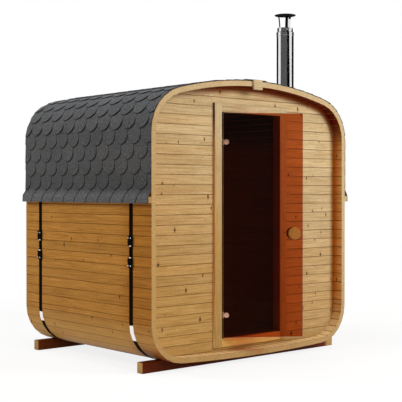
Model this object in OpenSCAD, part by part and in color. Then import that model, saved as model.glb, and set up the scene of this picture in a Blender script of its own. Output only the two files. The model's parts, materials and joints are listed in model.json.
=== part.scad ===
// Cube sauna: a stave-built cabin with rounded corners on two bearers.
// X runs across the front, Y from front to back, Z up from the ground.
// The origin is the middle of the front bearer's underside.

/* [Cabin] */
// Outer width of the cabin across its side walls
cabin_w = 2270; // [2150:10:2600]
// Length of the staves from front to back
cabin_len = 1850; // [1500:10:3000]
// Height of the wooden shell, from its underside to the ridge
cabin_h = 2318; // [2080:2:2700]
// Thickness of every wall, roof and floor board
board_t = 45; // [30:1:60]
// Face width of one stave, which sets the facets of the rounded parts
board_pitch = 81; // [60:1:140]
// Height of the shell's underside above the ground, at the middle
ground_gap = 48; // [30:1:120]
// How far the end walls stand back from the stave ends
end_recess = 96; // [30:1:200]

/* [Rounding] */
// Radius of the arched top
top_arch_r = 3440; // [2000:10:8000]
// Radius of the two upper corners
upper_corner_r = 366; // [200:2:500]
// Radius of the two lower corners
lower_corner_r = 325; // [200:1:450]
// Radius of the slightly arched bottom
bottom_arch_r = 16000; // [6000:100:40000]

/* [Bearers] */
// Length of a bearer
bearer_len = 2234; // [1900:2:2500]
// Height of a bearer at its ends
bearer_h = 88; // [70:1:200]
// Depth of a bearer from front to back
bearer_d = 70; // [40:1:160]
// Front bearer's face behind the front stave ends
front_bearer_setback = 138; // [40:1:170]
// Rear bearer's back face inside the rear stave ends
rear_bearer_setback = 105; // [40:1:160]

/* [Doorway] */
// Clear width of the door opening
opening_w = 689; // [560:1:800]
// Top of the door opening below the ridge
door_drop = 270; // [240:1:500]
// Underside of the door opening above the ground
opening_z = 210; // [195:1:230]
// Middle of the door opening to the right of the cabin's middle
opening_x = 13.5; // [-60:0.5:60]
// Face width of the two door jambs
jamb_w = 80; // [50:1:100]
// Face height of the header and the sill
rail_h = 74; // [40:1:76]
// Depth of the door frame
frame_d = 90; // [70:1:120]
// How far the door frame stands in front of the end wall
frame_proud = 22; // [5:1:30]

/* [Door] */
// Thickness of the glass
glass_t = 8; // [6:1:12]
// Gap between the glass and the frame at the free side, top and bottom
glass_gap = 5.5; // [5:0.5:10]
// How far the door stands open
door_open = 34; // [0:1:100]
// Hinge line inside the opening, from the left jamb
hinge_inset = 7.5; // [7:0.5:12]
// Hinge line in front of the door frame
hinge_stand = 6; // [6:0.5:12]
// Upper hinge below the top of the opening
upper_hinge_drop = 250; // [120:1:400]
// Lower hinge above the bottom of the opening
lower_hinge_rise = 196; // [120:1:400]

/* [Hinges] */
// Radius of a hinge's clamping disc
disc_r = 22; // [16:1:30]
// Thickness of a clamping disc
disc_t = 7; // [4:1:7]
// Nearest edge of a clamping disc from the hinge line
disc_inset = 4; // [3:0.5:8]
// Outer radius of a hinge knuckle
knuckle_r = 5; // [4.5:0.1:6]
// Radius of the hinge pin
pin_r = 3; // [2:0.1:3.5]
// Radial play between the pin and the door's knuckle
pin_play = 0.08; // [0.02:0.01:0.1]
// Height of the door's knuckle
knuckle_h = 22; // [12:1:40]
// Height of each of the jamb's two knuckles
leaf_knuckle_h = 13; // [8:1:24]
// Gap between neighbouring knuckles
knuckle_gap = 1; // [0.5:0.1:2]
// Thickness of a hinge leaf
leaf_t = 3; // [2:0.5:4]
// Depth of a hinge leaf on the jamb
leaf_d = 40; // [25:1:60]

/* [Knobs] */
// Radius of a wooden door knob
knob_r = 52; // [35:1:60]
// Thickness of a door knob
knob_t = 32; // [20:1:45]
// Rounding of a knob's rim
knob_round = 9; // [3:1:9]
// Length of the neck between the knob and the glass
neck_len = 14; // [8:1:30]
// Radius of the knob's neck
neck_r = 17; // [12:1:25]
// Radius of the spindle through the glass
spindle_r = 6; // [4:0.5:9]
// Gap round the spindle in the glass
spindle_gap = 1.5; // [0.5:0.5:3]
// Middle of the knobs from the free edge of the glass
knob_inset = 81; // [62:1:150]
// Middle of the knobs above the bottom of the opening
knob_rise = 874; // [600:1:1200]

/* [Roof covering] */
// Thickness of the shingle layer
shingle_t = 14; // [6:1:20]
// Height from the eave up to the ridge
eave_drop = 1022; // [700:2:1100]
// Thickness of an eave batten, which throws the shingles outwards
batten_t = 30; // [15:1:50]
// Height of an eave batten
batten_h = 50; // [30:1:80]
// Height over which the shingles flare out above the batten
flare_h = 60; // [30:1:120]
// Width of the block at each end of the ridge
ridge_block_w = 102; // [60:2:160]
// Height of a ridge block
ridge_block_h = 86; // [70:1:120]
// How far a ridge block stands off the stave ends
ridge_block_t = 20; // [10:1:40]

/* [Steel straps] */
// Width of a strap
strap_w = 48; // [25:1:70]
// Thickness of a strap
strap_t = 2; // [1:0.5:4]
// Middle of the front strap behind the front stave ends
front_strap_setback = 261; // [245:1:420]
// Middle of the rear strap inside the rear stave ends
rear_strap_setback = 246; // [215:1:420]
// Middle of the tensioners below the eave
tensioner_drop = 387; // [250:1:600]
// Height of one tensioner block
block_h = 74; // [40:1:90]
// Width of one tensioner block
block_w = 56; // [40:1:80]
// Thickness of one tensioner block
block_t = 14; // [14:1:24]
// Clear height between the two blocks of a tensioner
block_gap = 101; // [60:1:160]
// Radius of a tensioner rod
rod_r = 6; // [4:0.5:6.5]

/* [Flue] */
// Outer radius of the twin-wall flue pipe
flue_r = 79; // [60:1:100]
// Radius of the flue pipe's bore
flue_bore_r = 57.5; // [40:0.5:58]
// Middle of the flue inside the right side wall's outer face
flue_inset = 356; // [340:1:600]
// Middle of the flue behind the front stave ends
flue_setback = 422; // [330:1:1400]
// Top of the flue pipe above the ridge
flue_rise = 548; // [300:1:900]
// Lower end of the flue pipe below the ridge
flue_drop = 216; // [200:1:216]
// Gap between the flue pipe and the edge of its hole in the roof
flue_gap = 6; // [3:1:20]
// Thickness of the clamp band's sheet
clamp_t = 2.5; // [1:0.5:4]
// Height of the clamp band
clamp_h = 36; // [20:1:60]
// Width of the flashing plate on the roof
flashing_w = 270; // [240:2:320]
// Thickness of the flashing plate and its upstand
flashing_t = 3; // [1:0.5:5]
// Height of the flashing's upstand above the roof
upstand_h = 40; // [20:1:80]
// Radius of the ceiling collar
ceiling_collar_r = 112; // [105:1:130]
// Height of the ceiling collar below the pipe's middle at the ceiling
ceiling_collar_h = 40; // [25:1:45]

/* [Rain cap] */
// Outer radius of the collar that carries the cap
cap_collar_r = 71.5; // [62:0.5:75]
// Height of the cap's collar
cap_collar_h = 38; // [20:1:60]
// Radius of the rain cap
cap_r = 98.5; // [85:0.5:130]
// Thickness of the rain cap's sheet
cap_t = 3; // [1.5:0.5:5]
// Height of the cap's low dome
cap_dome = 12; // [5:1:30]
// Rim of the cap above the flue pipe's top
cap_lift = 158; // [90:1:220]
// Width of a cap leg
leg_w = 14; // [6:1:24]
// Thickness of a cap leg
leg_t = 3; // [2:0.5:5]
// Overlap of a cap leg on the collar
leg_lap = 25; // [10:1:34]

/* [Hidden] */
$fn = 64;
// Cuts run this far past the solids that they open
over = 1;

SPRUCE = [0.80, 0.66, 0.43];
SPRUCE_DARK = [0.70, 0.52, 0.28];
SHINGLE = [0.22, 0.23, 0.24];
STEEL_BLACK = [0.08, 0.08, 0.08];
STAINLESS = [0.72, 0.73, 0.75];
BRASS = [0.80, 0.62, 0.36];
BRONZE_GLASS = [0.36, 0.20, 0.10, 0.6];

// Main heights and places
half_w = cabin_w / 2;
top_z = ground_gap + cabin_h;
shell_front = -front_bearer_setback - bearer_d / 2;
shell_back = shell_front + cabin_len;
eave_z = top_z - eave_drop;
wall_front = shell_front + end_recess;
frame_front = wall_front - frame_proud;
opening_left = opening_x - opening_w / 2;
opening_right = opening_x + opening_w / 2;
opening_top = top_z - door_drop;

// Centres of the corner arcs, and the angles where they meet the arches
upper_cx = half_w - upper_corner_r;
upper_cz = top_z - top_arch_r + sqrt(pow(top_arch_r - upper_corner_r, 2) - pow(upper_cx, 2));
upper_angle = asin(upper_cx / (top_arch_r - upper_corner_r));
lower_cx = half_w - lower_corner_r;
lower_cz = ground_gap + bottom_arch_r - sqrt(pow(bottom_arch_r - lower_corner_r, 2) - pow(lower_cx, 2));
lower_angle = asin(lower_cx / (bottom_arch_r - lower_corner_r));

// Staves in each half of the arches and in each corner
function staves(radius, angle) = max(2, round(radius * angle * PI / 180 / board_pitch));
roof_staves = staves(top_arch_r, upper_angle);
upper_staves = staves(upper_corner_r, 90 - upper_angle);
lower_staves = staves(lower_corner_r, 90 - lower_angle);
bottom_staves_half = staves(bottom_arch_r, lower_angle);

// Points on an arc; the angle is measured from straight up
function arc(cx, cz, r, from, to, n) =
    [for (i = [0:n]) let (a = from + (to - from) * i / n) [cx + r * sin(a), cz + r * cos(a)]];

// The right half of the shell's outline at a depth below its outer face, from the ridge down
function roof_line(depth) =
    arc(0, top_z - top_arch_r, top_arch_r - depth, 0, upper_angle, roof_staves);
function upper_line(depth) =
    arc(upper_cx, upper_cz, upper_corner_r - depth, upper_angle, 90, upper_staves);
function wall_line(depth) = [[half_w - depth, upper_cz], [half_w - depth, lower_cz]];
function lower_line(depth) =
    arc(lower_cx, lower_cz, lower_corner_r - depth, 90, 180 - lower_angle, lower_staves);
function bottom_line(depth) =
    arc(0, ground_gap + bottom_arch_r, bottom_arch_r - depth, 180 - lower_angle, 180, bottom_staves_half);

function reversed(line) = [for (i = [len(line) - 1:-1:0]) line[i]];
function after_first(line) = [for (i = [1:len(line) - 1]) line[i]];
function mirrored(line) = [for (p = line) [-p[0], p[1]]];
function half_outline(depth) = concat(
    roof_line(depth), after_first(upper_line(depth)), after_first(wall_line(depth)),
    after_first(lower_line(depth)), after_first(bottom_line(depth)));
// The whole outline, with the two points on the middle line used once
function outline(depth) = let (half = half_outline(depth), n = len(half))
    concat(half, mirrored([for (i = [n - 2:-1:1]) half[i]]));

// A flat band between two lines that run side by side
module band(outer, inner) {
    polygon(concat(outer, reversed(inner)));
}

// Extrudes a cross-section of the cabin along Y
module along_cabin(from_y, length) {
    translate([0, from_y + length, 0])
        rotate([90, 0, 0])
            linear_extrude(length)
                children();
}

module box(low, high) {
    translate(low)
        cube(high - low);
}

// The solid inside the outline at one depth, long enough for any cut
module filled_cabin(depth) {
    along_cabin(shell_front - cabin_len, 3 * cabin_len)
        polygon(outline(depth));
}

// Bearers, cut out on top to cradle the shell
module bearer(from_y) {
    color(SPRUCE_DARK)
        along_cabin(from_y, bearer_d)
            difference() {
                translate([-bearer_len / 2, 0])
                    square([bearer_len, bearer_h]);
                polygon(outline(0));
            }
}
module front_bearer() {
    bearer(-bearer_d / 2);
}
module rear_bearer() {
    bearer(shell_back - rear_bearer_setback - bearer_d);
}

// Shell
module stave_band(outer, inner, shade) {
    color(shade)
        along_cabin(shell_front, cabin_len)
            band(outer, inner);
}
module left() {
    mirror([1, 0, 0])
        children();
}
module bottom_staves() {
    stave_band(
        concat(bottom_line(0), after_first(reversed(mirrored(bottom_line(0))))),
        concat(bottom_line(board_t), after_first(reversed(mirrored(bottom_line(board_t))))),
        SPRUCE_DARK);
}
module lower_right_staves() {
    stave_band(lower_line(0), lower_line(board_t), SPRUCE_DARK);
}
module lower_left_staves() {
    left() lower_right_staves();
}
module right_wall_staves() {
    stave_band(wall_line(0), wall_line(board_t), SPRUCE_DARK);
}
module left_wall_staves() {
    left() right_wall_staves();
}
module upper_band() {
    stave_band(upper_line(0), upper_line(board_t), SPRUCE_DARK);
}
module upper_left_staves() {
    left() upper_band();
}
module upper_right_staves() {
    difference() {
        upper_band();
        flue_hole();
    }
}
module roof_band() {
    stave_band(roof_line(0), roof_line(board_t), SPRUCE_DARK);
}
module roof_left_staves() {
    left() roof_band();
}
module roof_right_staves() {
    difference() {
        roof_band();
        flue_hole();
    }
}

// End walls, which fill the shell's inner outline
module end_wall(from_y, low, high) {
    color(SPRUCE)
        along_cabin(from_y, board_t)
            intersection() {
                polygon(outline(board_t));
                translate(low)
                    square(high - low);
            }
}
frame_left = opening_left - jamb_w;
frame_right = opening_right + jamb_w;
frame_bottom = opening_z - rail_h;
frame_top = opening_top + rail_h;
module front_wall_left() {
    end_wall(wall_front, [-half_w, 0], [frame_left, top_z]);
}
module front_wall_right() {
    end_wall(wall_front, [frame_right, 0], [half_w, top_z]);
}
module front_wall_over() {
    end_wall(wall_front, [frame_left, frame_top], [frame_right, top_z]);
}
module front_wall_under() {
    end_wall(wall_front, [frame_left, 0], [frame_right, frame_bottom]);
}
module rear_wall() {
    end_wall(shell_back - end_recess - board_t, [-half_w, 0], [half_w, top_z]);
}

// Door frame: full-height jambs with the header and the sill between them
module frame_member(left_x, right_x, low_z, high_z) {
    color(SPRUCE)
        box([left_x, frame_front, low_z], [right_x, frame_front + frame_d, high_z]);
}
module left_jamb() {
    frame_member(frame_left, opening_left, frame_bottom, frame_top);
}
module right_jamb() {
    frame_member(opening_right, frame_right, frame_bottom, frame_top);
}
module header() {
    frame_member(opening_left, opening_right, opening_top, frame_top);
}
module sill() {
    frame_member(opening_left, opening_right, frame_bottom, opening_z);
}

// The door's own frame: X runs from the hinge line to the free edge, -Y is the outer side
hinge_x = opening_left + hinge_inset;
hinge_y = frame_front - hinge_stand;
glass_w = opening_right - glass_gap - hinge_x;
glass_low = opening_z + glass_gap;
glass_high = opening_top - glass_gap;
upper_hinge_z = opening_top - upper_hinge_drop;
lower_hinge_z = opening_z + lower_hinge_rise;
knob_x = glass_w - knob_inset;
knob_z = opening_z + knob_rise;
leaf_reach = knuckle_h / 2 + knuckle_gap + leaf_knuckle_h;
// The glass is notched round the knuckles at each hinge
notch_w = disc_inset + leaf_t + 1;
notch_reach = leaf_reach + 3;
module at_hinge_line() {
    translate([hinge_x, hinge_y, 0])
        rotate([0, 0, -door_open])
            children();
}
module door_glass() {
    color(BRONZE_GLASS)
        at_hinge_line()
            difference() {
                box([0, -glass_t / 2, glass_low], [glass_w, glass_t / 2, glass_high]);
                for (z = [upper_hinge_z, lower_hinge_z])
                    box([-over, -glass_t, z - notch_reach], [notch_w, glass_t, z + notch_reach]);
                translate([knob_x, 0, knob_z])
                    rotate([90, 0, 0])
                        cylinder(r = spindle_r + spindle_gap, h = 2 * glass_t, center = true);
            }
}
// A turned knob whose foot is at the origin and whose face looks along +Z
module turned_knob() {
    rim = arc(knob_r - knob_round, neck_len + knob_t - knob_round, knob_round, 0, 90, 8);
    back_rim = arc(knob_r - knob_round, neck_len + knob_round, knob_round, 90, 180, 8);
    color(SPRUCE)
        rotate_extrude($fn = 96)
            polygon(concat(
                [[0, 0], [0, neck_len + knob_t]], rim, back_rim,
                [[neck_r, neck_len], [neck_r, 0]]));
}
module outer_knob() {
    at_hinge_line()
        translate([knob_x, -glass_t / 2, knob_z])
            rotate([90, 0, 0])
                turned_knob();
}
module inner_knob() {
    at_hinge_line()
        translate([knob_x, glass_t / 2, knob_z])
            rotate([-90, 0, 0])
                turned_knob();
}
module knob_spindle() {
    color(BRASS)
        at_hinge_line()
            translate([knob_x, 0, knob_z])
                rotate([90, 0, 0])
                    cylinder(r = spindle_r, h = glass_t, center = true);
}

// Hinges: discs clamp the glass and carry the middle knuckle
module hinge_clamp(z) {
    side = glass_t / 2 + disc_t;
    color(BRASS)
        at_hinge_line()
            translate([0, 0, z])
                difference() {
                    union() {
                        for (turn = [90, -90])
                            translate([disc_inset + disc_r, -sign(turn) * glass_t / 2, 0])
                                rotate([turn, 0, 0])
                                    cylinder(r = disc_r, h = disc_t);
                        box([0, -side, -knuckle_h / 2], [notch_w, side, knuckle_h / 2]);
                        cylinder(r = knuckle_r, h = knuckle_h, center = true);
                    }
                    cylinder(r = pin_r + pin_play, h = knuckle_h + 2 * over, center = true);
                }
}
module upper_hinge_clamp() {
    hinge_clamp(upper_hinge_z);
}
module lower_hinge_clamp() {
    hinge_clamp(lower_hinge_z);
}
// The leaf lies on the jamb's inner face; its two knuckles hold the pin
module hinge_leaf(z) {
    color(BRASS)
        translate([opening_left, 0, z]) {
            box([0, frame_front + 2, -leaf_reach], [leaf_t, frame_front + leaf_d, leaf_reach]);
            for (low = [-leaf_reach, leaf_reach - leaf_knuckle_h]) {
                box([0, hinge_y, low], [leaf_t, frame_front + 2, low + leaf_knuckle_h]);
                translate([hinge_inset, hinge_y, low])
                    cylinder(r = knuckle_r, h = leaf_knuckle_h);
            }
            translate([hinge_inset, hinge_y, 0])
                cylinder(r = pin_r, h = 2 * leaf_reach, center = true);
        }
}
module upper_hinge_leaf() {
    hinge_leaf(upper_hinge_z);
}
module lower_hinge_leaf() {
    hinge_leaf(lower_hinge_z);
}

// Blocks that close the ends of the ridge, level with the top of the shingles
module ridge_block(from_y) {
    top = top_z + shingle_t;
    color(SPRUCE)
        box([-ridge_block_w / 2, from_y, top - ridge_block_h],
            [ridge_block_w / 2, from_y + ridge_block_t, top]);
}
module front_ridge_block() {
    ridge_block(shell_front - ridge_block_t);
}
module rear_ridge_block() {
    ridge_block(shell_back);
}

// Shingles lie on the shell and flare out over the eave battens
batten_top = eave_z + batten_h;
flare_z = batten_top + flare_h;
function shingle_line(depth) = concat(
    roof_line(depth), after_first(upper_line(depth)),
    [[half_w - depth, flare_z], [half_w + batten_t - depth, batten_top], [half_w + batten_t - depth, eave_z]]);
module shingle_layer() {
    color(SHINGLE)
        along_cabin(shell_front, cabin_len)
            band(shingle_line(-shingle_t), shingle_line(0));
}
module left_shingles() {
    left() shingle_layer();
}
module right_shingles() {
    difference() {
        shingle_layer();
        flue_hole();
    }
}
module right_eave_batten() {
    color(SPRUCE)
        box([half_w, shell_front, eave_z], [half_w + batten_t, shell_back, batten_top]);
}
module left_eave_batten() {
    left() right_eave_batten();
}

// Steel straps run from eave to eave round the underside
tensioner_z = eave_z - tensioner_drop;
front_strap_y = shell_front + front_strap_setback;
rear_strap_y = shell_back - rear_strap_setback;
module strap(middle_y) {
    color(STEEL_BLACK)
        along_cabin(middle_y - strap_w / 2, strap_w)
            difference() {
                polygon(outline(-strap_t));
                polygon(outline(0));
                translate([-cabin_w, eave_z])
                    square([2 * cabin_w, cabin_h]);
                translate([-cabin_w, tensioner_z - block_gap / 2 - block_h / 2])
                    square([2 * cabin_w, block_gap + block_h]);
            }
}
module front_strap() {
    strap(front_strap_y);
}
module rear_strap() {
    strap(rear_strap_y);
}
// Each tensioner is two blocks drawn together by a rod
module right_tensioners() {
    face = half_w + strap_t;
    color(STEEL_BLACK)
        for (y = [front_strap_y, rear_strap_y]) {
            for (low = [tensioner_z - block_gap / 2 - block_h, tensioner_z + block_gap / 2])
                box([face, y - block_w / 2, low], [face + block_t, y + block_w / 2, low + block_h]);
            translate([face + block_t / 2, y, tensioner_z])
                cylinder(r = rod_r, h = block_gap + block_h, center = true);
        }
}
module left_tensioners() {
    left() right_tensioners();
}

// Flue
flue_x = half_w - flue_inset;
flue_y = shell_front + flue_setback;
flue_top = top_z + flue_rise;
flue_low = top_z - flue_drop;
flue_len = flue_top - flue_low;
// Height of the arched top's outer face over the flue's middle
flue_roof_z = top_z - top_arch_r + sqrt(pow(top_arch_r, 2) - pow(flue_x, 2));
module at_flue(z) {
    translate([flue_x, flue_y, z])
        children();
}
module flue_hole() {
    at_flue(flue_low)
        cylinder(r = flue_r + flue_gap, h = flue_len);
}
module ring(outer_r, inner_r, height) {
    difference() {
        cylinder(r = outer_r, h = height);
        translate([0, 0, -over])
            cylinder(r = inner_r, h = height + 2 * over);
    }
}
module flue_pipe() {
    color(STAINLESS)
        at_flue(flue_low)
            ring(flue_r, flue_bore_r, flue_len);
}
module flue_clamp_band() {
    color(STAINLESS)
        at_flue(flue_top - clamp_h)
            ring(flue_r + clamp_t, flue_r, clamp_h);
}
module flue_flashing() {
    low = -shingle_t - flashing_t;
    color(STAINLESS)
        difference() {
            union() {
                along_cabin(flue_y - flashing_w / 2, flashing_w)
                    intersection() {
                        polygon(outline(low));
                        translate([flue_x - flashing_w / 2, upper_cz])
                            square([flashing_w, top_z]);
                    }
                at_flue(upper_cz)
                    cylinder(r = flue_r + 2 * flashing_t, h = flue_roof_z + upstand_h - upper_cz);
            }
            filled_cabin(-shingle_t);
            at_flue(upper_cz - over)
                cylinder(r = flue_r, h = flue_len);
        }
}
// A collar closes the gap round the pipe under the ceiling
module ceiling_collar() {
    color(STAINLESS)
        intersection() {
            at_flue(flue_roof_z - board_t - ceiling_collar_h)
                ring(ceiling_collar_r, flue_r, 2 * ceiling_collar_h);
            filled_cabin(board_t);
        }
}
module cap_collar() {
    color(STAINLESS)
        at_flue(flue_top)
            ring(cap_collar_r, flue_bore_r, cap_collar_h);
}
cap_rim_z = flue_top + cap_lift;
cap_sphere_r = (pow(cap_r, 2) + pow(cap_dome, 2)) / (2 * cap_dome);
cap_sphere_z = cap_rim_z + cap_dome - cap_sphere_r;
cap_angle = asin(cap_r / cap_sphere_r);
module rain_cap() {
    color(STAINLESS)
        at_flue(cap_sphere_z)
            rotate_extrude($fn = 96)
                band(arc(0, 0, cap_sphere_r + cap_t, 0, cap_angle, 12),
                     arc(0, 0, cap_sphere_r, 0, cap_angle, 12));
}
module cap_legs() {
    leg_low = flue_top + cap_collar_h - leg_lap;
    color(STAINLESS)
        intersection() {
            for (turn = [30, 150, 270])
                at_flue(0)
                    rotate([0, 0, turn])
                        box([cap_collar_r, -leg_w / 2, leg_low],
                            [cap_collar_r + leg_t, leg_w / 2, cap_rim_z + cap_dome]);
            at_flue(0)
                rotate_extrude($fn = 96)
                    polygon(concat([[0, leg_low - over]],
                        [for (p = arc(0, cap_sphere_z, cap_sphere_r, 0, cap_angle, 12)) p],
                        [[cap_r, leg_low - over]]));
        }
}

front_bearer();
rear_bearer();
bottom_staves();
lower_left_staves();
lower_right_staves();
left_wall_staves();
right_wall_staves();
upper_left_staves();
upper_right_staves();
roof_left_staves();
roof_right_staves();
front_wall_left();
front_wall_right();
front_wall_over();
front_wall_under();
rear_wall();
left_jamb();
right_jamb();
header();
sill();
door_glass();
outer_knob();
inner_knob();
knob_spindle();
upper_hinge_clamp();
lower_hinge_clamp();
upper_hinge_leaf();
lower_hinge_leaf();
front_ridge_block();
rear_ridge_block();
left_shingles();
right_shingles();
left_eave_batten();
right_eave_batten();
front_strap();
rear_strap();
left_tensioners();
right_tensioners();
flue_pipe();
flue_clamp_band();
flue_flashing();
ceiling_collar();
cap_collar();
cap_legs();
rain_cap();
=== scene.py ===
"""Looks of the cube sauna: boards, shingles, door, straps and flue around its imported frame."""
import json
import math
import random

import bmesh
import bpy
from mathutils import Matrix, Vector


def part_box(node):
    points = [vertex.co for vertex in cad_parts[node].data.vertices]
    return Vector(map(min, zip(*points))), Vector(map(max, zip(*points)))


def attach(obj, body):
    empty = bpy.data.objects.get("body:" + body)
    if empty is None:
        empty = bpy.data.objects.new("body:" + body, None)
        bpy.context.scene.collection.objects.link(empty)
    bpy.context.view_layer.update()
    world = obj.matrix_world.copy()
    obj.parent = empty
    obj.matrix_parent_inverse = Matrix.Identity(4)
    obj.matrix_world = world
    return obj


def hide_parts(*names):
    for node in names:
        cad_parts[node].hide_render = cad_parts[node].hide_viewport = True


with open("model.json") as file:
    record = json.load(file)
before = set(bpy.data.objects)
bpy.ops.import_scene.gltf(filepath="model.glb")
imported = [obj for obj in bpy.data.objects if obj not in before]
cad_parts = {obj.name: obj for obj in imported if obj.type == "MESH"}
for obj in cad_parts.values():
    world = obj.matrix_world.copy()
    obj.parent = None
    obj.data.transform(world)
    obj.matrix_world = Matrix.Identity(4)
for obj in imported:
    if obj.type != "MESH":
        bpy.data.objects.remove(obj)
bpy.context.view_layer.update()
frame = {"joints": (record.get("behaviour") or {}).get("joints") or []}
draw = random.Random(41)

# Sizes in metres. Those of the shell come from the frame, the others are the maker's own.
BOARD_PITCH = 0.081
TOP_ARCH_R = 3.440
UPPER_CORNER_R = 0.366
LOWER_CORNER_R = 0.325
BOTTOM_ARCH_R = 16.0
DOOR_OPEN = math.radians(34)

wall_low, wall_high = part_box("left_wall_staves")
batten_low, batten_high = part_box("left_eave_batten")
HALF_W = -wall_low.x
BOARD_T = wall_high.x - wall_low.x
SHELL_FRONT = wall_low.y
SHELL_BACK = wall_high.y
UPPER_CZ = wall_high.z
LOWER_CZ = wall_low.z
TOP_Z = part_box("roof_left_staves")[1].z
UNDERSIDE_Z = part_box("bottom_staves")[0].z
EAVE_Z = batten_low.z
# The board joint from which all walls are set out
FIRST_JOINT_Z = EAVE_Z - 0.097
BATTEN_TOP = batten_high.z
BATTEN_T = batten_high.x - batten_low.x
FLARE_Z = BATTEN_TOP + 0.060
UPPER_CX = HALF_W - UPPER_CORNER_R
LOWER_CX = HALF_W - LOWER_CORNER_R
UPPER_ANGLE = math.asin(UPPER_CX / (TOP_ARCH_R - UPPER_CORNER_R))
LOWER_ANGLE = math.asin(LOWER_CX / (BOTTOM_ARCH_R - LOWER_CORNER_R))
# Width from tab to tab, half a tab's width, and the length of its rounded end
TAB_PITCH = 0.1713
TAB_HALF = 0.0842
TAB_ROUND = 0.082


def middle_of(node):
    low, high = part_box(node)
    return (low + high) / 2


def radius_of(node):
    low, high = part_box(node)
    return (high.x - low.x) / 2


# ---------------------------------------------------------------- finishes

FINISHES = {}


def math_node(operation, reflected=False):
    """An operator on channels that adds a Math node."""
    def work(channel, other=0.0):
        first, second = (other, channel) if reflected else (channel, other)
        return channel.finish.add("ShaderNodeMath", {"operation": operation}, {0: first, 1: second})
    return work


class Channel:
    """One socket of a finish, used in plain arithmetic."""

    __add__ = math_node("ADD")
    __radd__ = math_node("ADD", reflected=True)
    __sub__ = math_node("SUBTRACT")
    __rsub__ = math_node("SUBTRACT", reflected=True)
    __mul__ = math_node("MULTIPLY")
    __rmul__ = math_node("MULTIPLY", reflected=True)
    __truediv__ = math_node("DIVIDE")
    __pow__ = math_node("POWER")
    __abs__ = math_node("ABSOLUTE")
    at_least = math_node("MAXIMUM")

    def __init__(self, finish, socket):
        self.finish = finish
        self.socket = socket


def find_socket(sockets, key):
    if isinstance(key, int):
        return sockets[key]
    return next(s for s in sockets if key in (s.identifier, s.name))


class Finish:
    """A material or a world being made, with a short way to add each kind of node."""

    def __init__(self, name, world=None):
        self.name = name
        self.made = world or bpy.data.materials.new(name)
        self.made.use_nodes = True
        self.tree = self.made.node_tree
        self.tree.nodes.clear()

    def add(self, kind, settings=None, sockets=None, output=0):
        """Adds a node, makes its settings, fills its sockets and returns one of its outputs.

        A colour is given as three numbers."""
        node = self.tree.nodes.new(kind)
        for name, value in (settings or {}).items():
            setattr(node, name, value)
        for key, value in (sockets or {}).items():
            socket = find_socket(node.inputs, key)
            if isinstance(value, Channel):
                self.tree.links.new(value.socket, socket)
            else:
                socket.default_value = (*value, 1) if socket.type == "RGBA" else value
        if not node.outputs:
            return None
        return Channel(self, find_socket(node.outputs, output))

    def attribute(self, name):
        return self.add("ShaderNodeAttribute", {"attribute_name": name}, output="Vector")

    def place(self):
        return self.add("ShaderNodeTexCoord", output="Object")

    def split(self, vector):
        first = self.add("ShaderNodeSeparateXYZ", sockets={0: vector})
        return [Channel(self, socket) for socket in first.socket.node.outputs]

    def vector(self, operation, first, second=(0, 0, 0), output="Vector"):
        return self.add("ShaderNodeVectorMath", {"operation": operation}, {0: first, 1: second}, output)

    def noise(self, place, scale, detail=2.0):
        return self.add(
            "ShaderNodeTexNoise", sockets={"Vector": place, "Scale": scale, "Detail": detail}, output="Fac")

    def step(self, value, low, high):
        """Rises smoothly from 0 at low to 1 at high."""
        return self.add(
            "ShaderNodeMapRange", {"interpolation_type": "SMOOTHSTEP"},
            {"Value": value, "From Min": low, "From Max": high})

    def mix(self, share, first, second, blend="MIX"):
        return self.add(
            "ShaderNodeMix", {"data_type": "RGBA", "blend_type": blend},
            {"Factor_Float": share, "A_Color": first, "B_Color": second}, "Result_Color")

    def bump(self, height, distance, strength=1.0):
        return self.add(
            "ShaderNodeBump", sockets={"Height": height, "Distance": distance, "Strength": strength})

    def surface(self, shader):
        """Ends in a shader and keeps the finish under its name."""
        self.add("ShaderNodeOutputMaterial", sockets={"Surface": shader})
        FINISHES[self.name] = self.made

    def principled(self, **values):
        """Ends in a Principled shader; an underscore in a name stands for a space."""
        named = {name.replace("_", " "): value for name, value in values.items()}
        self.surface(self.add("ShaderNodeBsdfPrincipled", sockets=named))


# Length and width of the stretch of a board's face that has one knot at most
KNOT_CELL = (0.40, 0.115)


def under_roof(wood):
    """Distance of a place on an end wall from the inner face of the roof and walls round it."""
    x, _, z = wood.split(wood.place())
    beside = abs(x) - UPPER_CX
    above = (z - UPPER_CZ).at_least(0.0)
    in_corner = UPPER_CORNER_R - BOARD_T - (beside * beside + above * above) ** 0.5
    high = z - (TOP_Z - TOP_ARCH_R)
    in_arch = TOP_ARCH_R - BOARD_T - (x * x + high * high) ** 0.5
    cornered = wood.step(beside * math.cos(UPPER_ANGLE) - above * math.sin(UPPER_ANGLE), -0.01, 0.01)
    return in_arch + (in_corner - in_arch) * cornered


def painted_corner_shade(wood, colour):
    """Painted shade where an end wall meets the roof: a painted shadow under the roof's edge, and fainter
    painted shade down its right side.
    """
    x, _, z = wood.split(wood.place())
    depth = under_roof(wood)
    top = wood.step(z, 1.70, 2.10) * wood.step(x, -0.9, -0.3)
    beside = wood.step(x, 0.2, 0.8) * (1 - wood.step(z, 1.70, 2.10))
    colour = wood.mix(
        (1 - wood.step(depth, 0.0, 0.070)) * beside, colour, (0.70, 0.40, 0.17), "MULTIPLY")
    return wood.mix((1 - wood.step(depth, 0.014, 0.074)) * top, colour, (0.36, 0.085, 0.015), "MULTIPLY")


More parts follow.
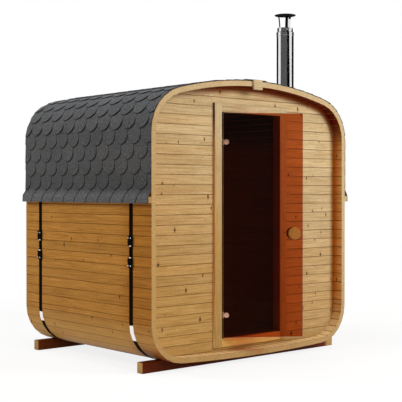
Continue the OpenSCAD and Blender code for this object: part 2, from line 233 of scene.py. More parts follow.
def painted_recess_light_and_shade(wood, colour):
    """Painted light and shade on the inner faces: paler by the floor where light falls from above, redder
    away from the cabin's ends, and darker in the room and darkest under the roof as painted shade.
    """
    x, y, z = wood.split(wood.place())
    inwards = (SHELL_BACK - SHELL_FRONT) / 2 - abs(y - (SHELL_BACK + SHELL_FRONT) / 2)
    pale = (1 - wood.step(z, 0.15, 0.34)) * (1 - wood.step(inwards, 0.08, 0.13)) * 0.75
    colour = wood.mix(pale, colour, (0.90, 0.65, 0.33))
    front = (1 - wood.step(y, 0.6, 1.3) * 0.5) * (0.45 + 0.55 * wood.step(x, -0.6, 0.2))
    colour = wood.mix(
        wood.step(z, 0.22, 0.55) * wood.step(inwards, -0.01, 0.085) * front, colour, (0.96, 0.46, 0.13),
        "MULTIPLY")
    colour = wood.mix(
        wood.step(z, 0.5, 1.0) * wood.step(inwards, 0.040, 0.090), colour, (0.92, 0.80, 0.68), "MULTIPLY")
    colour = wood.mix(wood.step(inwards, 0.090, 0.18) * 0.80, colour, (0.34, 0.26, 0.24), "MULTIPLY")
    return wood.mix(
        wood.step(z, 1.76, 2.08) * wood.step(inwards, -0.05, 0.020), colour, (0.17, 0.025, 0.006), "MULTIPLY")


def painted_foot_light_and_shade(wood, colour):
    """Painted light and shade on the staves: paler where they turn in under the cabin as painted light,
    darker and redder by the front and along their lowest edge as painted shade.
    """
    _, y, z = wood.split(wood.place())
    colour = wood.mix(1 - wood.step(y, 0.10, 0.30), colour, (0.88, 0.76, 0.56), "MULTIPLY")
    low_front = (1 - wood.step(y, 0.06, 0.24)) * (1 - wood.step(z, 0.08, 0.30))
    low = low_front.at_least(1 - wood.step(z, 0.085, 0.125))
    colour = wood.mix(low, colour, (0.60, 0.32, 0.15), "MULTIPLY")
    pale = (1 - wood.step(z, 0.16, 0.46)) * (1 - low) * 0.6
    return wood.mix(pale, colour, (0.63, 0.41, 0.135))


def painted_bearer_light_and_shade(wood, colour):
    """Painted shade and light on the bearers: darker in front as painted shade, and paler towards their right
    end as painted light.
    """
    x, y, _ = wood.split(wood.place())
    colour = wood.mix(1 - wood.step(y, 0.6, 1.0), colour, (0.74, 0.52, 0.38), "MULTIPLY")
    return wood.mix(wood.step(x, 1.00, 1.06) * 0.9, colour, (0.46, 0.30, 0.12))


def spruce(name, early, late, groove_colour=None, knot_share=0.0, gloss=0.50, painted_low_left_shade=0.0, painted_light_and_shade=None,
           figure=1.0):
    """Planed spruce: growth rings round a pith, knots, streaks, and a tone for each board.

    It can have painted shade, darker and warmer towards the foot and the left, and painted light and shade
    from one of the functions above."""
    wood = Finish(name)
    grain = wood.attribute("grain")
    tone, warmth, groove = wood.split(wood.attribute("board"))
    # Knots: one place in each cell of the board's face, wider across the grain than along it
    cell_place = wood.vector("DIVIDE", grain, (*KNOT_CELL, 1))
    nearest = wood.add(
        "ShaderNodeTexVoronoi", {"voronoi_dimensions": "2D"}, {"Vector": cell_place, "Scale": 1.0},
        "Position")
    pick, size, _ = wood.split(Channel(wood, find_socket(nearest.socket.node.outputs, "Color")))
    offset = wood.vector("MULTIPLY", wood.vector("SUBTRACT", nearest, cell_place),
                         (1.6 * KNOT_CELL[0], 0.72 * KNOT_CELL[1], 0))
    distance = wood.vector("LENGTH", offset, output="Value")
    present = wood.step(pick, 1 - knot_share, 1.01 - knot_share)
    radius = 0.0070 + 0.0060 * size
    core = present * (1 - wood.step(distance, radius * 0.75, radius))
    halo = present * (1 - wood.step(distance, radius, radius * 2.6))
    # Growth rings, pushed round the knots
    drift = wood.noise(wood.vector("MULTIPLY", grain, (1.1, 7, 7)), 1.0, 2.0) - 0.5
    from_pith = wood.vector("LENGTH", wood.vector("MULTIPLY", grain, (0, 1, 1)), output="Value")
    ring = wood.add(
        "ShaderNodeMath", {"operation": "FRACT"}, {0: (from_pith + drift * 0.022 + halo * 0.007) / 0.0062})
    late_wood = ring ** 2.2
    streak = wood.noise(wood.vector("MULTIPLY", grain, (1.1, 52, 52)), 1.0, 3.0)
    fine = wood.noise(wood.vector("MULTIPLY", grain, (5.0, 130, 130)), 1.0, 2.0)
    speckle = wood.noise(wood.vector("MULTIPLY", grain, (38, 120, 120)), 1.0, 2.0)
    fibre = wood.noise(wood.vector("MULTIPLY", grain, (14, 420, 420)), 1.0, 2.0)
    cloud = wood.noise(wood.vector("MULTIPLY", grain, (2.6, 5, 5)), 1.0, 2.0)
    depth = (late_wood - 0.4) * 0.35 + (streak - 0.5) * 0.9 + (fine - 0.5) * 1.9 + (cloud - 0.5) * 0.5
    depth = depth * figure + 0.38
    colour = wood.mix(depth, early, late)
    colour = wood.mix(warmth * 0.35, colour, (1.0, 0.88, 0.72), "MULTIPLY")
    shade = 0.90 + 0.14 * tone + (fibre - 0.5) * 0.16 + (speckle - 0.5) * 0.45
    colour = wood.mix(1.0, colour, shade, "MULTIPLY")
    # Painted shade: darker and warmer towards the foot and the left
    if painted_low_left_shade:
        x, _, z = wood.split(wood.place())
        colour = wood.mix(
            wood.step(z + x * 0.6, 2.3, -0.2) * painted_low_left_shade, colour, (0.82, 0.64, 0.37), "MULTIPLY")
    # Painted light and shade from one of the functions above
    if painted_light_and_shade:
        colour = painted_light_and_shade(wood, colour)
    colour = wood.mix(halo * 0.45, colour, (0.25, 0.09, 0.020))
    colour = wood.mix(core, colour, (0.016, 0.005, 0.002))
    if groove_colour:
        colour = wood.mix(groove * (0.60 + cloud * 0.6), colour, groove_colour)
    height = late_wood * 0.35 + fibre * 0.5 - core * 0.6
    wood.principled(
        Base_Color=colour,
        Roughness=gloss + (fibre - 0.5) * 0.22 + late_wood * 0.06,
        Specular_IOR_Level=0.10,
        Normal=wood.bump(height, 0.0005, 0.7))


def shingle_felt(name):
    """Grey mineral grit pressed into bitumen, each tab a little lighter or darker, with painted light and
    painted shadow.
    """
    felt = Finish(name)
    tone, cut, _ = felt.split(felt.attribute("tab"))
    sideways, upwards, _ = felt.split(felt.attribute("lie"))
    place = felt.place()
    grit = felt.noise(place, 620.0, 1.0)
    clump = felt.noise(place, 85.0, 3.0)
    cloud = felt.noise(place, 2.3, 2.0)
    dust = felt.noise(place, 11.0, 3.0)
    colour = felt.mix(
        (grit - 0.5) * 1.5 + (clump - 0.5) * 1.7 + 0.5, (0.0175, 0.018, 0.0195), (0.124, 0.128, 0.135))
    height = felt.split(place)[2]
    # Painted light: lighter on the flare, which faces up, and higher on the roof
    eave = 1 - felt.step(height, FLARE_Z - 0.055, FLARE_Z - 0.005)
    painted_top_light = felt.step(height, 1.50, 1.70)
    shade = 0.88 + 0.14 * tone + (cloud - 0.5) * 0.25 + (dust - 0.5) * 0.15 + eave * 0.49 + painted_top_light * 0.15
    colour = felt.mix(1.0, colour, shade, "MULTIPLY")
    # Painted shadow in front of and below the scalloped rim of the row above
    across = (abs(sideways + 0.008) - TAB_PITCH / 2) / TAB_HALF
    up = (TAB_ROUND - 0.005 - upwards).at_least(0.0) / TAB_ROUND
    painted_rim_shadow = 1 - felt.step((across * across + up * up) ** 0.5, 0.98, 1.04)
    colour = felt.mix(painted_rim_shadow * 0.80, colour, (0.012, 0.012, 0.013))
    # The cut rims are dark, their own edge colour with painted shade
    colour = felt.mix(cut * 0.85, colour, (0.006, 0.006, 0.006))
    felt.principled(
        Base_Color=colour,
        Roughness=0.62 + (clump - 0.5) * 0.2 + cut * 0.3,
        Specular_IOR_Level=0.10,
        Normal=felt.bump(grit * 0.7 + clump * 0.5, 0.0012, 0.7))


# Heights between which the straps carry a painted highlight, a bright bare stretch
STRAP_BEND_LOW = 0.246
STRAP_BEND_HIGH = 0.370


def strap_steel(name):
    """Black over steel, standing in for the dark reflections of polished steel, with a painted highlight
    where the strap turns the lower corner: a bright bare stretch.
    """
    steel = Finish(name)
    place = steel.place()
    _, y, z = steel.split(place)
    wander = (steel.noise(place, 55.0, 3.0) - 0.5) * 0.016
    rear = steel.step(y, 0.5, 1.5)
    above = steel.step(z + wander - rear * 0.034, STRAP_BEND_LOW - 0.004, STRAP_BEND_LOW + 0.004)
    beyond = steel.step(z + wander + rear * 0.010, STRAP_BEND_HIGH - 0.004, STRAP_BEND_HIGH + 0.004)
    painted_glint = above * (1 - beyond)
    scratch = steel.noise(steel.vector("MULTIPLY", place, (90, 500, 9)), 1.0, 2.0)
    smear = steel.noise(place, 16.0, 3.0)
    steel.principled(
        Base_Color=steel.mix(painted_glint, (0.005, 0.003, 0.0015), (0.90, 0.88, 0.85)),
        Metallic=painted_glint,
        Roughness=0.75 - painted_glint * 0.45 + (smear - 0.5) * 0.20 + (scratch - 0.5) * 0.14,
        Specular_IOR_Level=0.02,
        Normal=steel.bump(smear * 0.6 + scratch * 0.2, 0.0006, 0.4))


def metal(name, bright, dull, roughness, stretch, scale=1.0):
    """Bare metal with a drawn or brushed grain and slightly dull patches."""
    bare = Finish(name)
    place = bare.place()
    brushed = bare.noise(bare.vector("MULTIPLY", place, stretch), scale, 2.0)
    patch = bare.noise(place, 9.0, 3.0)
    bare.principled(
        Base_Color=bare.mix((patch - 0.5) * 0.8 + (brushed - 0.5) * 0.5 + 0.4, bright, dull),
        Metallic=1.0,
        Roughness=roughness + (brushed - 0.5) * 0.12 + (patch - 0.5) * 0.08,
        Normal=bare.bump(brushed, 0.0002, 0.35))


def soot_and_painted_shade(name):
    """Matt black, thicker in some places: smoke's black in the flue's bore, and painted shade and dark
    reflection on the cap and its legs.
    """
    black = Finish(name)
    crust = black.noise(black.place(), 60.0, 3.0)
    black.principled(
        Base_Color=black.mix(crust, (0.004, 0.004, 0.004), (0.020, 0.018, 0.017)),
        Roughness=0.85 + (crust - 0.5) * 0.2,
        Specular_IOR_Level=0.05,
        Normal=black.bump(crust, 0.0008, 0.6))


def bronze_glass(name):
    """Through-coloured glass: it tints what is seen and lit through it and mirrors a little."""
    glass = Finish(name)
    smear = glass.noise(glass.place(), 5.0, 2.0)
    clear = glass.add("ShaderNodeBsdfTransparent", sockets={"Color": (0.73, 0.39, 0.225)})
    mirror = glass.add("ShaderNodeBsdfAnisotropic", sockets={"Color": (0.9, 0.86, 0.82), "Roughness": 0.03})
    edge_on = glass.add("ShaderNodeFresnel", sockets={"IOR": 1.5})
    glass.surface(glass.add(
        "ShaderNodeMixShader", sockets={0: edge_on * (0.07 + (smear - 0.5) * 0.03), 1: clear, 2: mirror}))


def glass_rim(name):
    """The ground and polished rim of the glass, pale in its own colour and as a painted highlight where it
    gathers light.
    """
    rim = Finish(name)
    bands = rim.noise(rim.vector("MULTIPLY", rim.place(), (30, 30, 4)), 1.0, 2.0)
    rim.principled(
        Base_Color=rim.mix(bands, (0.62, 0.47, 0.33), (0.42, 0.26, 0.15)),
        Roughness=0.22 + bands * 0.1,
        Coat_Weight=0.3)


# The end walls' finish has painted shade under the roof and towards the foot and the left
spruce("spruce_front", (0.59, 0.470, 0.290), (0.33, 0.215, 0.080), (0.10, 0.037, 0.009), 0.60,
       painted_low_left_shade=1.0, painted_light_and_shade=painted_corner_shade, figure=0.72)
spruce("spruce_frame", (0.52, 0.43, 0.275), (0.37, 0.27, 0.135), (0.30, 0.15, 0.05), 0.10, painted_low_left_shade=1.5)
# Darker finishes used as painted shade on the door frame's shaded sides
spruce("spruce_dark", (0.28, 0.115, 0.030), (0.18, 0.065, 0.015))
spruce("spruce_tread", (0.165, 0.068, 0.024), (0.10, 0.038, 0.012))
# The sill's orange is partly painted light, the tint of light through the bronze glass
spruce("spruce_sill", (0.66, 0.40, 0.125), (0.42, 0.22, 0.05))
# The staves are the same spruce as the end walls, darker and more orange as painted shade
spruce("spruce_staves", (0.52, 0.265, 0.056), (0.25, 0.090, 0.010), (0.045, 0.013, 0.002), 0.30,
       painted_light_and_shade=painted_foot_light_and_shade, figure=0.6)
spruce("spruce_ends", (0.56, 0.44, 0.270), (0.39, 0.27, 0.130), gloss=0.6, painted_low_left_shade=0.8)
# The bearers' sides are darkened as painted shade from the cabin above them
spruce("spruce_bearers", (0.17, 0.042, 0.009), (0.10, 0.019, 0.004), (0.20, 0.09, 0.04), 0.15,
       painted_light_and_shade=painted_bearer_light_and_shade)
spruce("spruce_knob", (0.37, 0.155, 0.034), (0.17, 0.055, 0.009), (0.16, 0.06, 0.02))
# The inner faces carry painted light and shade
spruce("spruce_inside", (0.72, 0.47, 0.20), (0.48, 0.26, 0.075), (0.10, 0.030, 0.006), 0.2,
       painted_light_and_shade=painted_recess_light_and_shade)
soot_and_painted_shade("soot_and_painted_shade")
bronze_glass("bronze_glass")
glass_rim("glass_rim")
metal("brass", (0.70, 0.42, 0.28), (0.34, 0.15, 0.08), 0.34, (60, 60, 600), 5.0)
shingle_felt("shingles")
strap_steel("strap_steel")
metal("stainless", (0.84, 0.84, 0.85), (0.66, 0.66, 0.68), 0.10, (180, 180, 4))
metal("zinc", (0.88, 0.87, 0.84), (0.66, 0.66, 0.66), 0.25, (300, 300, 300))


# ---------------------------------------------------------------- shared making

# Turns what looks up towards +X
FACING_X = Matrix.Rotation(math.radians(90), 4, "Y")


def at(x, y, z):
    return Matrix.Translation((x, y, z))


def mesh_data(name, mesh):
    """Turns a bmesh into mesh data and frees it."""
    data = bpy.data.meshes.new(name)
    mesh.to_mesh(data)
    mesh.free()
    return data


def in_scene(name, data):
    item = bpy.data.objects.new(name, data)
    bpy.context.scene.collection.objects.link(item)
    return item


def make_piece(name, mesh, body, slot, replaced=(), finishes=None, smooth_below=30):
    """Turns a bmesh into a piece of the part that rides on a body and stands for CAD nodes."""
    data = mesh_data(name, mesh)
    for finish in finishes or [slot]:
        data.materials.append(FINISHES[finish])
    data.polygons.foreach_set("use_smooth", [True] * len(data.polygons))
    data.set_sharp_from_angle(angle=math.radians(smooth_below))
    piece = in_scene(name, data)
    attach(piece, body)
    if replaced:
        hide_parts(*replaced)


def append(target, source):
    """Adds a finished bmesh to another and frees it."""
    data = mesh_data("part_of_piece", source)
    target.from_mesh(data)
    bpy.data.meshes.remove(data)


def joined(meshes):
    whole = bmesh.new()
    for mesh in meshes:
        append(whole, mesh)
    return whole


def moved(mesh, matrix):
    bmesh.ops.transform(mesh, matrix=matrix, verts=mesh.verts)
    return mesh


def ease(mesh, edges, width, segments=1):
    """Rounds or chamfers edges."""
    bmesh.ops.bevel(
        mesh, geom=edges, offset=width, segments=segments, profile=0.5, affect="EDGES", material=-1,
        clamp_overlap=True)


def pushed(mesh, extruded, run):
    """Moves what an extrusion made along a run and returns its vertices."""
    verts = [part for part in extruded["geom"] if isinstance(part, bmesh.types.BMVert)]
    bmesh.ops.translate(mesh, vec=run, verts=verts)
    return verts


def thickened(sheet, run):
    """Sweeps a sheet along a run into a closed slab and returns the vertices of its far side."""
    verts = pushed(sheet, bmesh.ops.extrude_face_region(sheet, geom=sheet.faces[:]), run)
    bmesh.ops.recalc_face_normals(sheet, faces=sheet.faces[:])
    return verts


def prism(section, run):
    """A closed bmesh: a flat section swept along a straight run."""
    mesh = bmesh.new()
    mesh.faces.new([mesh.verts.new(corner) for corner in section])
    thickened(mesh, run)
    return mesh


def ribbon(path, run):
    """An open sheet: a line of points swept along a straight run."""
    mesh = bmesh.new()
    verts = [mesh.verts.new(point) for point in path]
    edges = [mesh.edges.new(pair) for pair in zip(verts, verts[1:])]
    pushed(mesh, bmesh.ops.extrude_edge_only(mesh, edges=edges), run)
    return mesh


def trim(mesh, point, outward):
    """Cuts a closed bmesh off at a plane and closes the cut."""
    if all((vert.co - point).dot(outward) < 1e-6 for vert in mesh.verts):
        return
    parts = mesh.verts[:] + mesh.edges[:] + mesh.faces[:]
    cut = bmesh.ops.bisect_plane(
        mesh, geom=parts, dist=1e-6, plane_co=point, plane_no=outward, clear_outer=True)["geom_cut"]
    bmesh.ops.holes_fill(mesh, edges=[part for part in cut if isinstance(part, bmesh.types.BMEdge)])


def block(low, high, edge):
    """A box between two corners with rounded edges."""
    low, high = Vector(low), Vector(high)
    mesh = bmesh.new()
    bmesh.ops.create_cube(mesh, size=1.0)
    bmesh.ops.scale(mesh, vec=high - low, verts=mesh.verts)
    bmesh.ops.translate(mesh, vec=(low + high) / 2, verts=mesh.verts)
    ease(mesh, mesh.edges[:], edge, 2)
    return mesh


def turned(profile, steps=48, is_ring=False):
    """A closed bmesh turned round Z from (radius, height) points.

    They start and end on the axis, or go round the section of a ring."""
    mesh = bmesh.new()
    verts = [mesh.verts.new((radius, 0, height)) for radius, height in profile]
    nexts = verts[1:] + verts[:1] if is_ring else verts[1:]
    edges = [mesh.edges.new(pair) for pair in zip(verts, nexts)]
    bmesh.ops.spin(
        mesh, geom=verts + edges, cent=(0, 0, 0), axis=(0, 0, 1), angle=math.tau, steps=steps,
        use_merge=True, use_duplicate=False)
    bmesh.ops.remove_doubles(mesh, verts=mesh.verts, dist=1e-6)
    bmesh.ops.recalc_face_normals(mesh, faces=mesh.faces[:])
    return mesh


def turned_ring(inner, outer, low, high, rounding=0.001, steps=96):
    """A closed ring round Z with small rounded corners."""
    profile = []
    for radius, height, to_r, to_z in (
            (inner, low, 1, 1), (outer, low, -1, 1), (outer, high, -1, -1), (inner, high, 1, -1)):
        corner = [(radius, height + to_z * rounding), (radius + to_r * rounding, height)]
        profile += corner if to_r == to_z else corner[::-1]
    return turned(profile, steps, is_ring=True)


# ---------------------------------------------------------------- the cabin's outline

def arc(centre, radius, start, end, steps):
    """(x, z) points on an arc; the angle is measured from straight up."""
    angles = [start + (end - start) * i / steps for i in range(steps + 1)]
    return [(centre[0] + radius * math.sin(a), centre[1] + radius * math.cos(a)) for a in angles]


def staves_in(radius, angle):
    return max(2, round(radius * angle / BOARD_PITCH))


def roof_line(depth):
    return arc((0, TOP_Z - TOP_ARCH_R), TOP_ARCH_R - depth, 0, UPPER_ANGLE,
               staves_in(TOP_ARCH_R, UPPER_ANGLE))


def upper_line(depth):
    return arc((UPPER_CX, UPPER_CZ), UPPER_CORNER_R - depth, UPPER_ANGLE, math.pi / 2,
               staves_in(UPPER_CORNER_R, math.pi / 2 - UPPER_ANGLE))


def wall_line(depth):
    """Stave joints down the wall, one of them at a set height below the eave."""
    up = math.floor((UPPER_CZ - FIRST_JOINT_Z) / BOARD_PITCH)
    down = math.floor((FIRST_JOINT_Z - LOWER_CZ) / BOARD_PITCH)
    joints = [FIRST_JOINT_Z + BOARD_PITCH * i for i in range(up - 1, -down - 1, -1)]
    return [(HALF_W - depth, z) for z in (UPPER_CZ, *joints, LOWER_CZ)]


def lower_line(depth):
    return arc((LOWER_CX, LOWER_CZ), LOWER_CORNER_R - depth, math.pi / 2, math.pi - LOWER_ANGLE,
               staves_in(LOWER_CORNER_R, math.pi / 2 - LOWER_ANGLE))


def bottom_line(depth):
    return arc((0, UNDERSIDE_Z + BOTTOM_ARCH_R), BOTTOM_ARCH_R - depth, math.pi - LOWER_ANGLE, math.pi,
               staves_in(BOTTOM_ARCH_R, LOWER_ANGLE))


def mirror_line(line):
    return [(-x, z) for x, z in line]


def outline(depth):
    """The whole outline at a depth below the shell's outer face, right half first, from the ridge down."""
    half = roof_line(depth)
    for line in (upper_line, wall_line, lower_line, bottom_line):
        half += line(depth)[1:]
    return half + mirror_line(half[-2:0:-1])


# ---------------------------------------------------------------- timber

# Chamfers along a board and at its cut end
BOARD_EASE = 0.0035
END_EASE = 0.001


def nowhere(place):
    return False


class Timber:
    """Boards that become one piece; each has its own grain, tone and warmth."""

    def __init__(self):
        self.mesh = bmesh.new()
        self.mesh.verts.layers.float_vector.new("grain")
        self.mesh.verts.layers.float_vector.new("board")

    def add(self, board, along, across, middle, is_joint=nowhere, is_end=nowhere):
        """Marks a bmesh with its grain and its look and joins it to the others."""
        grain_layer = board.verts.layers.float_vector.new("grain")
        look_layer = board.verts.layers.float_vector.new("board")
        along, across = Vector(along), Vector(across)
        axes = (along, across, along.cross(across))
        start = Vector((draw.uniform(0, 40), draw.uniform(-0.03, 0.03), draw.uniform(0.035, 0.11)))
        tone, warmth = draw.random(), draw.random()
        for vert in board.verts:
            place = vert.co - middle
            vert[grain_layer] = start + Vector([place.dot(axis) for axis in axes])
            look = (0.5, 0.5) if is_end(vert.co) else (tone, warmth)
            vert[look_layer] = (*look, 1.0 if is_joint(vert.co) else 0.0)
        append(self.mesh, board)

    def board(self, section, run, has_ends=False, cuts=()):
        """A straight board with eased edges: corners 0 and 1 of the section bound its outer face.

        Where its ends show, they are eased too and look like cut ends."""
        corners = [Vector(corner) for corner in section]
        along = run.normalized()
        across = (corners[1] - corners[0]).normalized()
        outward = (corners[0] - corners[3]).normalized()
        ends = [(corners[0], -along), (corners[0] + run, along)]
        mesh = prism(corners, run)
        ease(mesh, [edge for edge in mesh.edges if abs(direction(edge).dot(along)) > 0.999], BOARD_EASE)
        if has_ends:
            rims = [edge for edge in mesh.edges if abs(direction(edge).dot(outward)) < 0.5
                    and any(all(near_plane(vert.co, end, 1e-6) for vert in edge.verts) for end in ends)]
            ease(mesh, rims, END_EASE)
        for face in mesh.faces:
            if has_ends and abs(face.normal.dot(along)) > 0.9:
                face.material_index = 1
            elif face.normal.dot(outward) < -0.9:
                face.material_index = 2
        for point, beyond in cuts:
            trim(mesh, point, beyond)
        sides = [(corners[1], along.cross(corners[2] - corners[1]).normalized()),
                 (corners[0], along.cross(corners[3] - corners[0]).normalized())]
        self.add(mesh, along, across, sum(corners, Vector()) / 4,
                 lambda place: any(near_plane(place, side, 2e-5) for side in sides),
                 lambda place: has_ends and any(near_plane(place, end, 1e-5) for end in ends))

    def piece(self, node, kind, slot, finishes=None, body="cabin"):
        """Ends as the piece that stands for a CAD node."""
        make_piece(f"{node}_{kind}", self.mesh, body, slot, [node], finishes)


def direction(edge):
    return (edge.verts[1].co - edge.verts[0].co).normalized()


def near_plane(place, plane, reach):
    """Whether a place lies in a plane given as a point and a normal."""
    point, normal = plane
    return abs((place - point).dot(normal)) < reach


FLUE_X, FLUE_Y, _ = middle_of("flue_pipe")
FLUE_R = radius_of("flue_pipe")
FLUE_LOW, FLUE_TOP = (corner.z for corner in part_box("flue_pipe"))
# Play round the flue in the holes of the staves and of the shingles
STAVE_PLAY = 0.003
SHINGLE_PLAY = 0.004


def lay_staves(name, outer, inner, has_flue=False):
    """Staves between the outer and inner lines of a stretch of the shell, cut short where the flue passes."""
    staves = Timber()
    run = Vector((0, SHELL_BACK - SHELL_FRONT, 0))
    hole_r = FLUE_R + STAVE_PLAY
    for i in range(len(outer) - 1):
        section = [Vector((x, SHELL_FRONT, z)) for x, z in (outer[i], outer[i + 1], inner[i + 1], inner[i])]
        x_low, x_high = sorted((outer[i][0], outer[i + 1][0]))
        if has_flue and x_low < FLUE_X + hole_r and x_high > FLUE_X - hole_r:
            nearest = 0 if x_low < FLUE_X < x_high else min(abs(x_low - FLUE_X), abs(x_high - FLUE_X))
            reach = math.sqrt(hole_r ** 2 - nearest ** 2)
            front = Vector((0, FLUE_Y - reach - SHELL_FRONT, 0))
            back = Vector((0, FLUE_Y + reach - SHELL_FRONT, 0))
            staves.board(section, front, has_ends=True)
            staves.board([corner + back for corner in section], run - back, has_ends=True)
        else:
            staves.board(section, run, has_ends=True)
    staves.piece(name, "boards", "spruce_staves", ["spruce_staves", "spruce_ends", "spruce_inside"])


def make_shell():
    for side in ("left", "right"):
        turn = mirror_line if side == "left" else list
        for name, line in ((f"roof_{side}_staves", roof_line), (f"upper_{side}_staves", upper_line),
                           (f"{side}_wall_staves", wall_line), (f"lower_{side}_staves", lower_line)):
            lay_staves(name, turn(line(0)), turn(line(BOARD_T)), has_flue=side == "right")
    outer, inner = (bottom_line(depth) + mirror_line(bottom_line(depth))[-2::-1] for depth in (0, BOARD_T))
    lay_staves("bottom_staves", outer, inner)


def room_bounds():
    """Planes just inside the shell, which the end walls' boards are trimmed to."""
    points = outline(BOARD_T + 0.0005)
    bounds = []
    for first, second in zip(points, points[1:] + points[:1]):
        edge = Vector((second[0] - first[0], 0, second[1] - first[1]))
        if edge.length > 1e-6:
            bounds.append((Vector((first[0], 0, first[1])), Vector((-edge.z, 0, edge.x)).normalized()))
    return bounds


def make_end_walls():
    """Horizontal boards that fill the end walls inside the shell."""
    bounds = room_bounds()
    for name in ("front_wall_left", "front_wall_right", "front_wall_over", "front_wall_under", "rear_wall"):
        low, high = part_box(name)
        outer_y, inner_y = (high.y, low.y) if name == "rear_wall" else (low.y, high.y)
        wall = Timber()
        number = math.floor((low.z - FIRST_JOINT_Z) / BOARD_PITCH + 1e-6)
        while FIRST_JOINT_Z + BOARD_PITCH * number < high.z - 1e-6:
            bottom = max(FIRST_JOINT_Z + BOARD_PITCH * number, low.z)
            top = min(FIRST_JOINT_Z + BOARD_PITCH * (number + 1), high.z)
            section = [(low.x, outer_y, bottom), (low.x, outer_y, top), (low.x, inner_y, top),
                       (low.x, inner_y, bottom)]
            wall.board(section, Vector((high.x - low.x, 0, 0)), cuts=bounds)
            number += 1
        wall.piece(name, "boards", "spruce_front", ["spruce_front", "spruce_front", "spruce_inside"])


def make_door_frame():
    """Jambs, header and sill; one side of each gets a darker finish as painted shade: the jambs' left sides,
    the header's underside and the sill's top.
    """
    for name, shaded_side, outer, shade_finish in (
            ("left_jamb", (-1, 0, 0), "spruce_frame", "spruce_inside"),
            ("right_jamb", (-1, 0, 0), "spruce_frame", "spruce_dark"),
            ("header", (0, 0, -1), "spruce_frame", "spruce_inside"),
            ("sill", (0, 0, 1), "spruce_sill", "spruce_tread")):
        low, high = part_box(name)
        width, height = Vector((high.x - low.x, 0, 0)), Vector((0, 0, high.z - low.z))
        depth = Vector((0, high.y - low.y, 0))
        across, run = (width, height) if name.endswith("jamb") else (height, width)
        corners = [low, low + across, low + across + depth, low + depth]
        mesh = prism(corners, run)
        ease(mesh, mesh.edges[:], 0.003, 2)
        for face in mesh.faces:
            # The shaded side takes the darker finish as painted shade
            face.material_index = int(face.normal.dot(Vector(shaded_side)) > 0.6)
        member = Timber()
        member.add(mesh, run.normalized(), across.normalized(), sum(corners, Vector()) / 4)
        member.piece(name, "post", "spruce_frame", [outer, shade_finish])


def make_bearers():
    """Bearers, hollowed on top to cradle the shell."""
    below = [p for p in outline(0) if p[1] < 0.3 and abs(p[0]) < LOWER_CX + LOWER_CORNER_R]
    for name in ("front_bearer", "rear_bearer"):
        low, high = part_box(name)
        section = [(low.x, low.z), (high.x, low.z), (high.x, high.z), *cradle(below, high.z, high.x),
                   (low.x, high.z)]
        mesh = prism([(x, low.y, z) for x, z in section], (0, high.y - low.y, 0))
        ease(mesh, [edge for edge in mesh.edges if edge.calc_face_angle(0) > math.radians(50)], 0.003, 2)
        for face in mesh.faces:
            face.material_index = int(abs(face.normal.x) > 0.9)
        beam = Timber()
        beam.add(mesh, (1, 0, 0), (0, 0, 1), (low + high) / 2)
        beam.piece(name, "beam", "spruce_bearers", ["spruce_bearers", "spruce_ends"])


def cradle(points, top, reach):
    """The stretch of the shell's underside that lies below a height, from right to left."""
    inside = []
    for first, second in zip(points, points[1:]):
        if (first[1] - top) * (second[1] - top) < 0:
            share = (top - first[1]) / (second[1] - first[1])
            inside.append((first[0] + share * (second[0] - first[0]), top))
        if second[1] < top:
            inside.append(second)
    return [p for p in inside if abs(p[0]) < reach]


def make_roof_timber():
    """The eave battens and the blocks that close the ridge."""
    for node, kind, edge, along, slot in (
            ("left_eave_batten", "strip", 0.003, (0, 1, 0), "spruce_front"),
            ("right_eave_batten", "strip", 0.003, (0, 1, 0), "spruce_front"),
            ("front_ridge_block", "chock", 0.004, (1, 0, 0), "spruce_frame"),
            ("rear_ridge_block", "chock", 0.004, (1, 0, 0), "spruce_frame")):
        timber = Timber()
        timber.add(block(*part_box(node), edge), along, (0, 0, 1), middle_of(node))
        timber.piece(node, kind, slot, ["spruce_frame"])


# ---------------------------------------------------------------- shingles

TAB_T = 0.0030
# How much of a tab shows, and its rise over that length
TAB_EXPOSED = 0.120
TAB_LIFT = 0.0030
TAB_LENGTH = 0.195
# Where a scalloped tab is creased, as shares of its length, and the columns of its faces
TAB_ROWS = (0.0, 0.55, 0.96, 1.0)
TAB_COLUMNS = 8
EAVE_TAB_ROWS = 8
EAVE_TAB_COLUMNS = 10
# Sideways run of an eave tab for its length, and how far down it the place is that isn't shifted
EAVE_TAB_SLANT = 0.45
EAVE_TAB_PIVOT = 0.135
# Darkness of a tab's cut rim, its own dark edge with painted shade, on the side turned from the light and at
# its tip, and painted shade on its underside
SIDE_SHADE = 0.85
TIP_SHADE = 0.3
UNDER_SHADE = 0.3
# How far inside the shell's ends the tabs stop
TAB_INSET = 0.002
FIRST_TIP_Z = 1.452
FIRST_TAB_EDGE = 0.042
UNDERLAY_T = 0.002
RIDGE_CAP_T = 0.0036
ARCH_RUN = TOP_ARCH_R * UPPER_ANGLE
CORNER_RUN = UPPER_CORNER_R * (math.pi / 2 - UPPER_ANGLE)


def run_at(z):
    """Distance down the roof from the ridge to a height on the wall."""
    return ARCH_RUN + CORNER_RUN + UPPER_CZ - z


def on_roof(run, lift):
    """(x, z) on the right half of the roof at a distance down from the ridge, lifted off the shell."""
    if run < ARCH_RUN:
        angle, radius = run / TOP_ARCH_R, TOP_ARCH_R + lift
        return radius * math.sin(angle), TOP_Z - TOP_ARCH_R + radius * math.cos(angle)
    if run < ARCH_RUN + CORNER_RUN:
        angle = UPPER_ANGLE + (run - ARCH_RUN) / UPPER_CORNER_R
        radius = UPPER_CORNER_R + lift
        return UPPER_CX + radius * math.sin(angle), UPPER_CZ + radius * math.cos(angle)
    z = UPPER_CZ - (run - ARCH_RUN - CORNER_RUN)
    share = min(1, max(0, (FLARE_Z - z) / (FLARE_Z - BATTEN_TOP)))
    return HALF_W + lift + BATTEN_T * share * share * (3 - 2 * share), z


def bent_over_roof(tab, side):
    for vert in tab.verts:
        x, z = on_roof(vert.co.x, vert.co.z)
        vert.co = (side * x, vert.co.y, z)
    if side < 0:
        bmesh.ops.reverse_faces(tab, faces=tab.faces[:])
    return tab


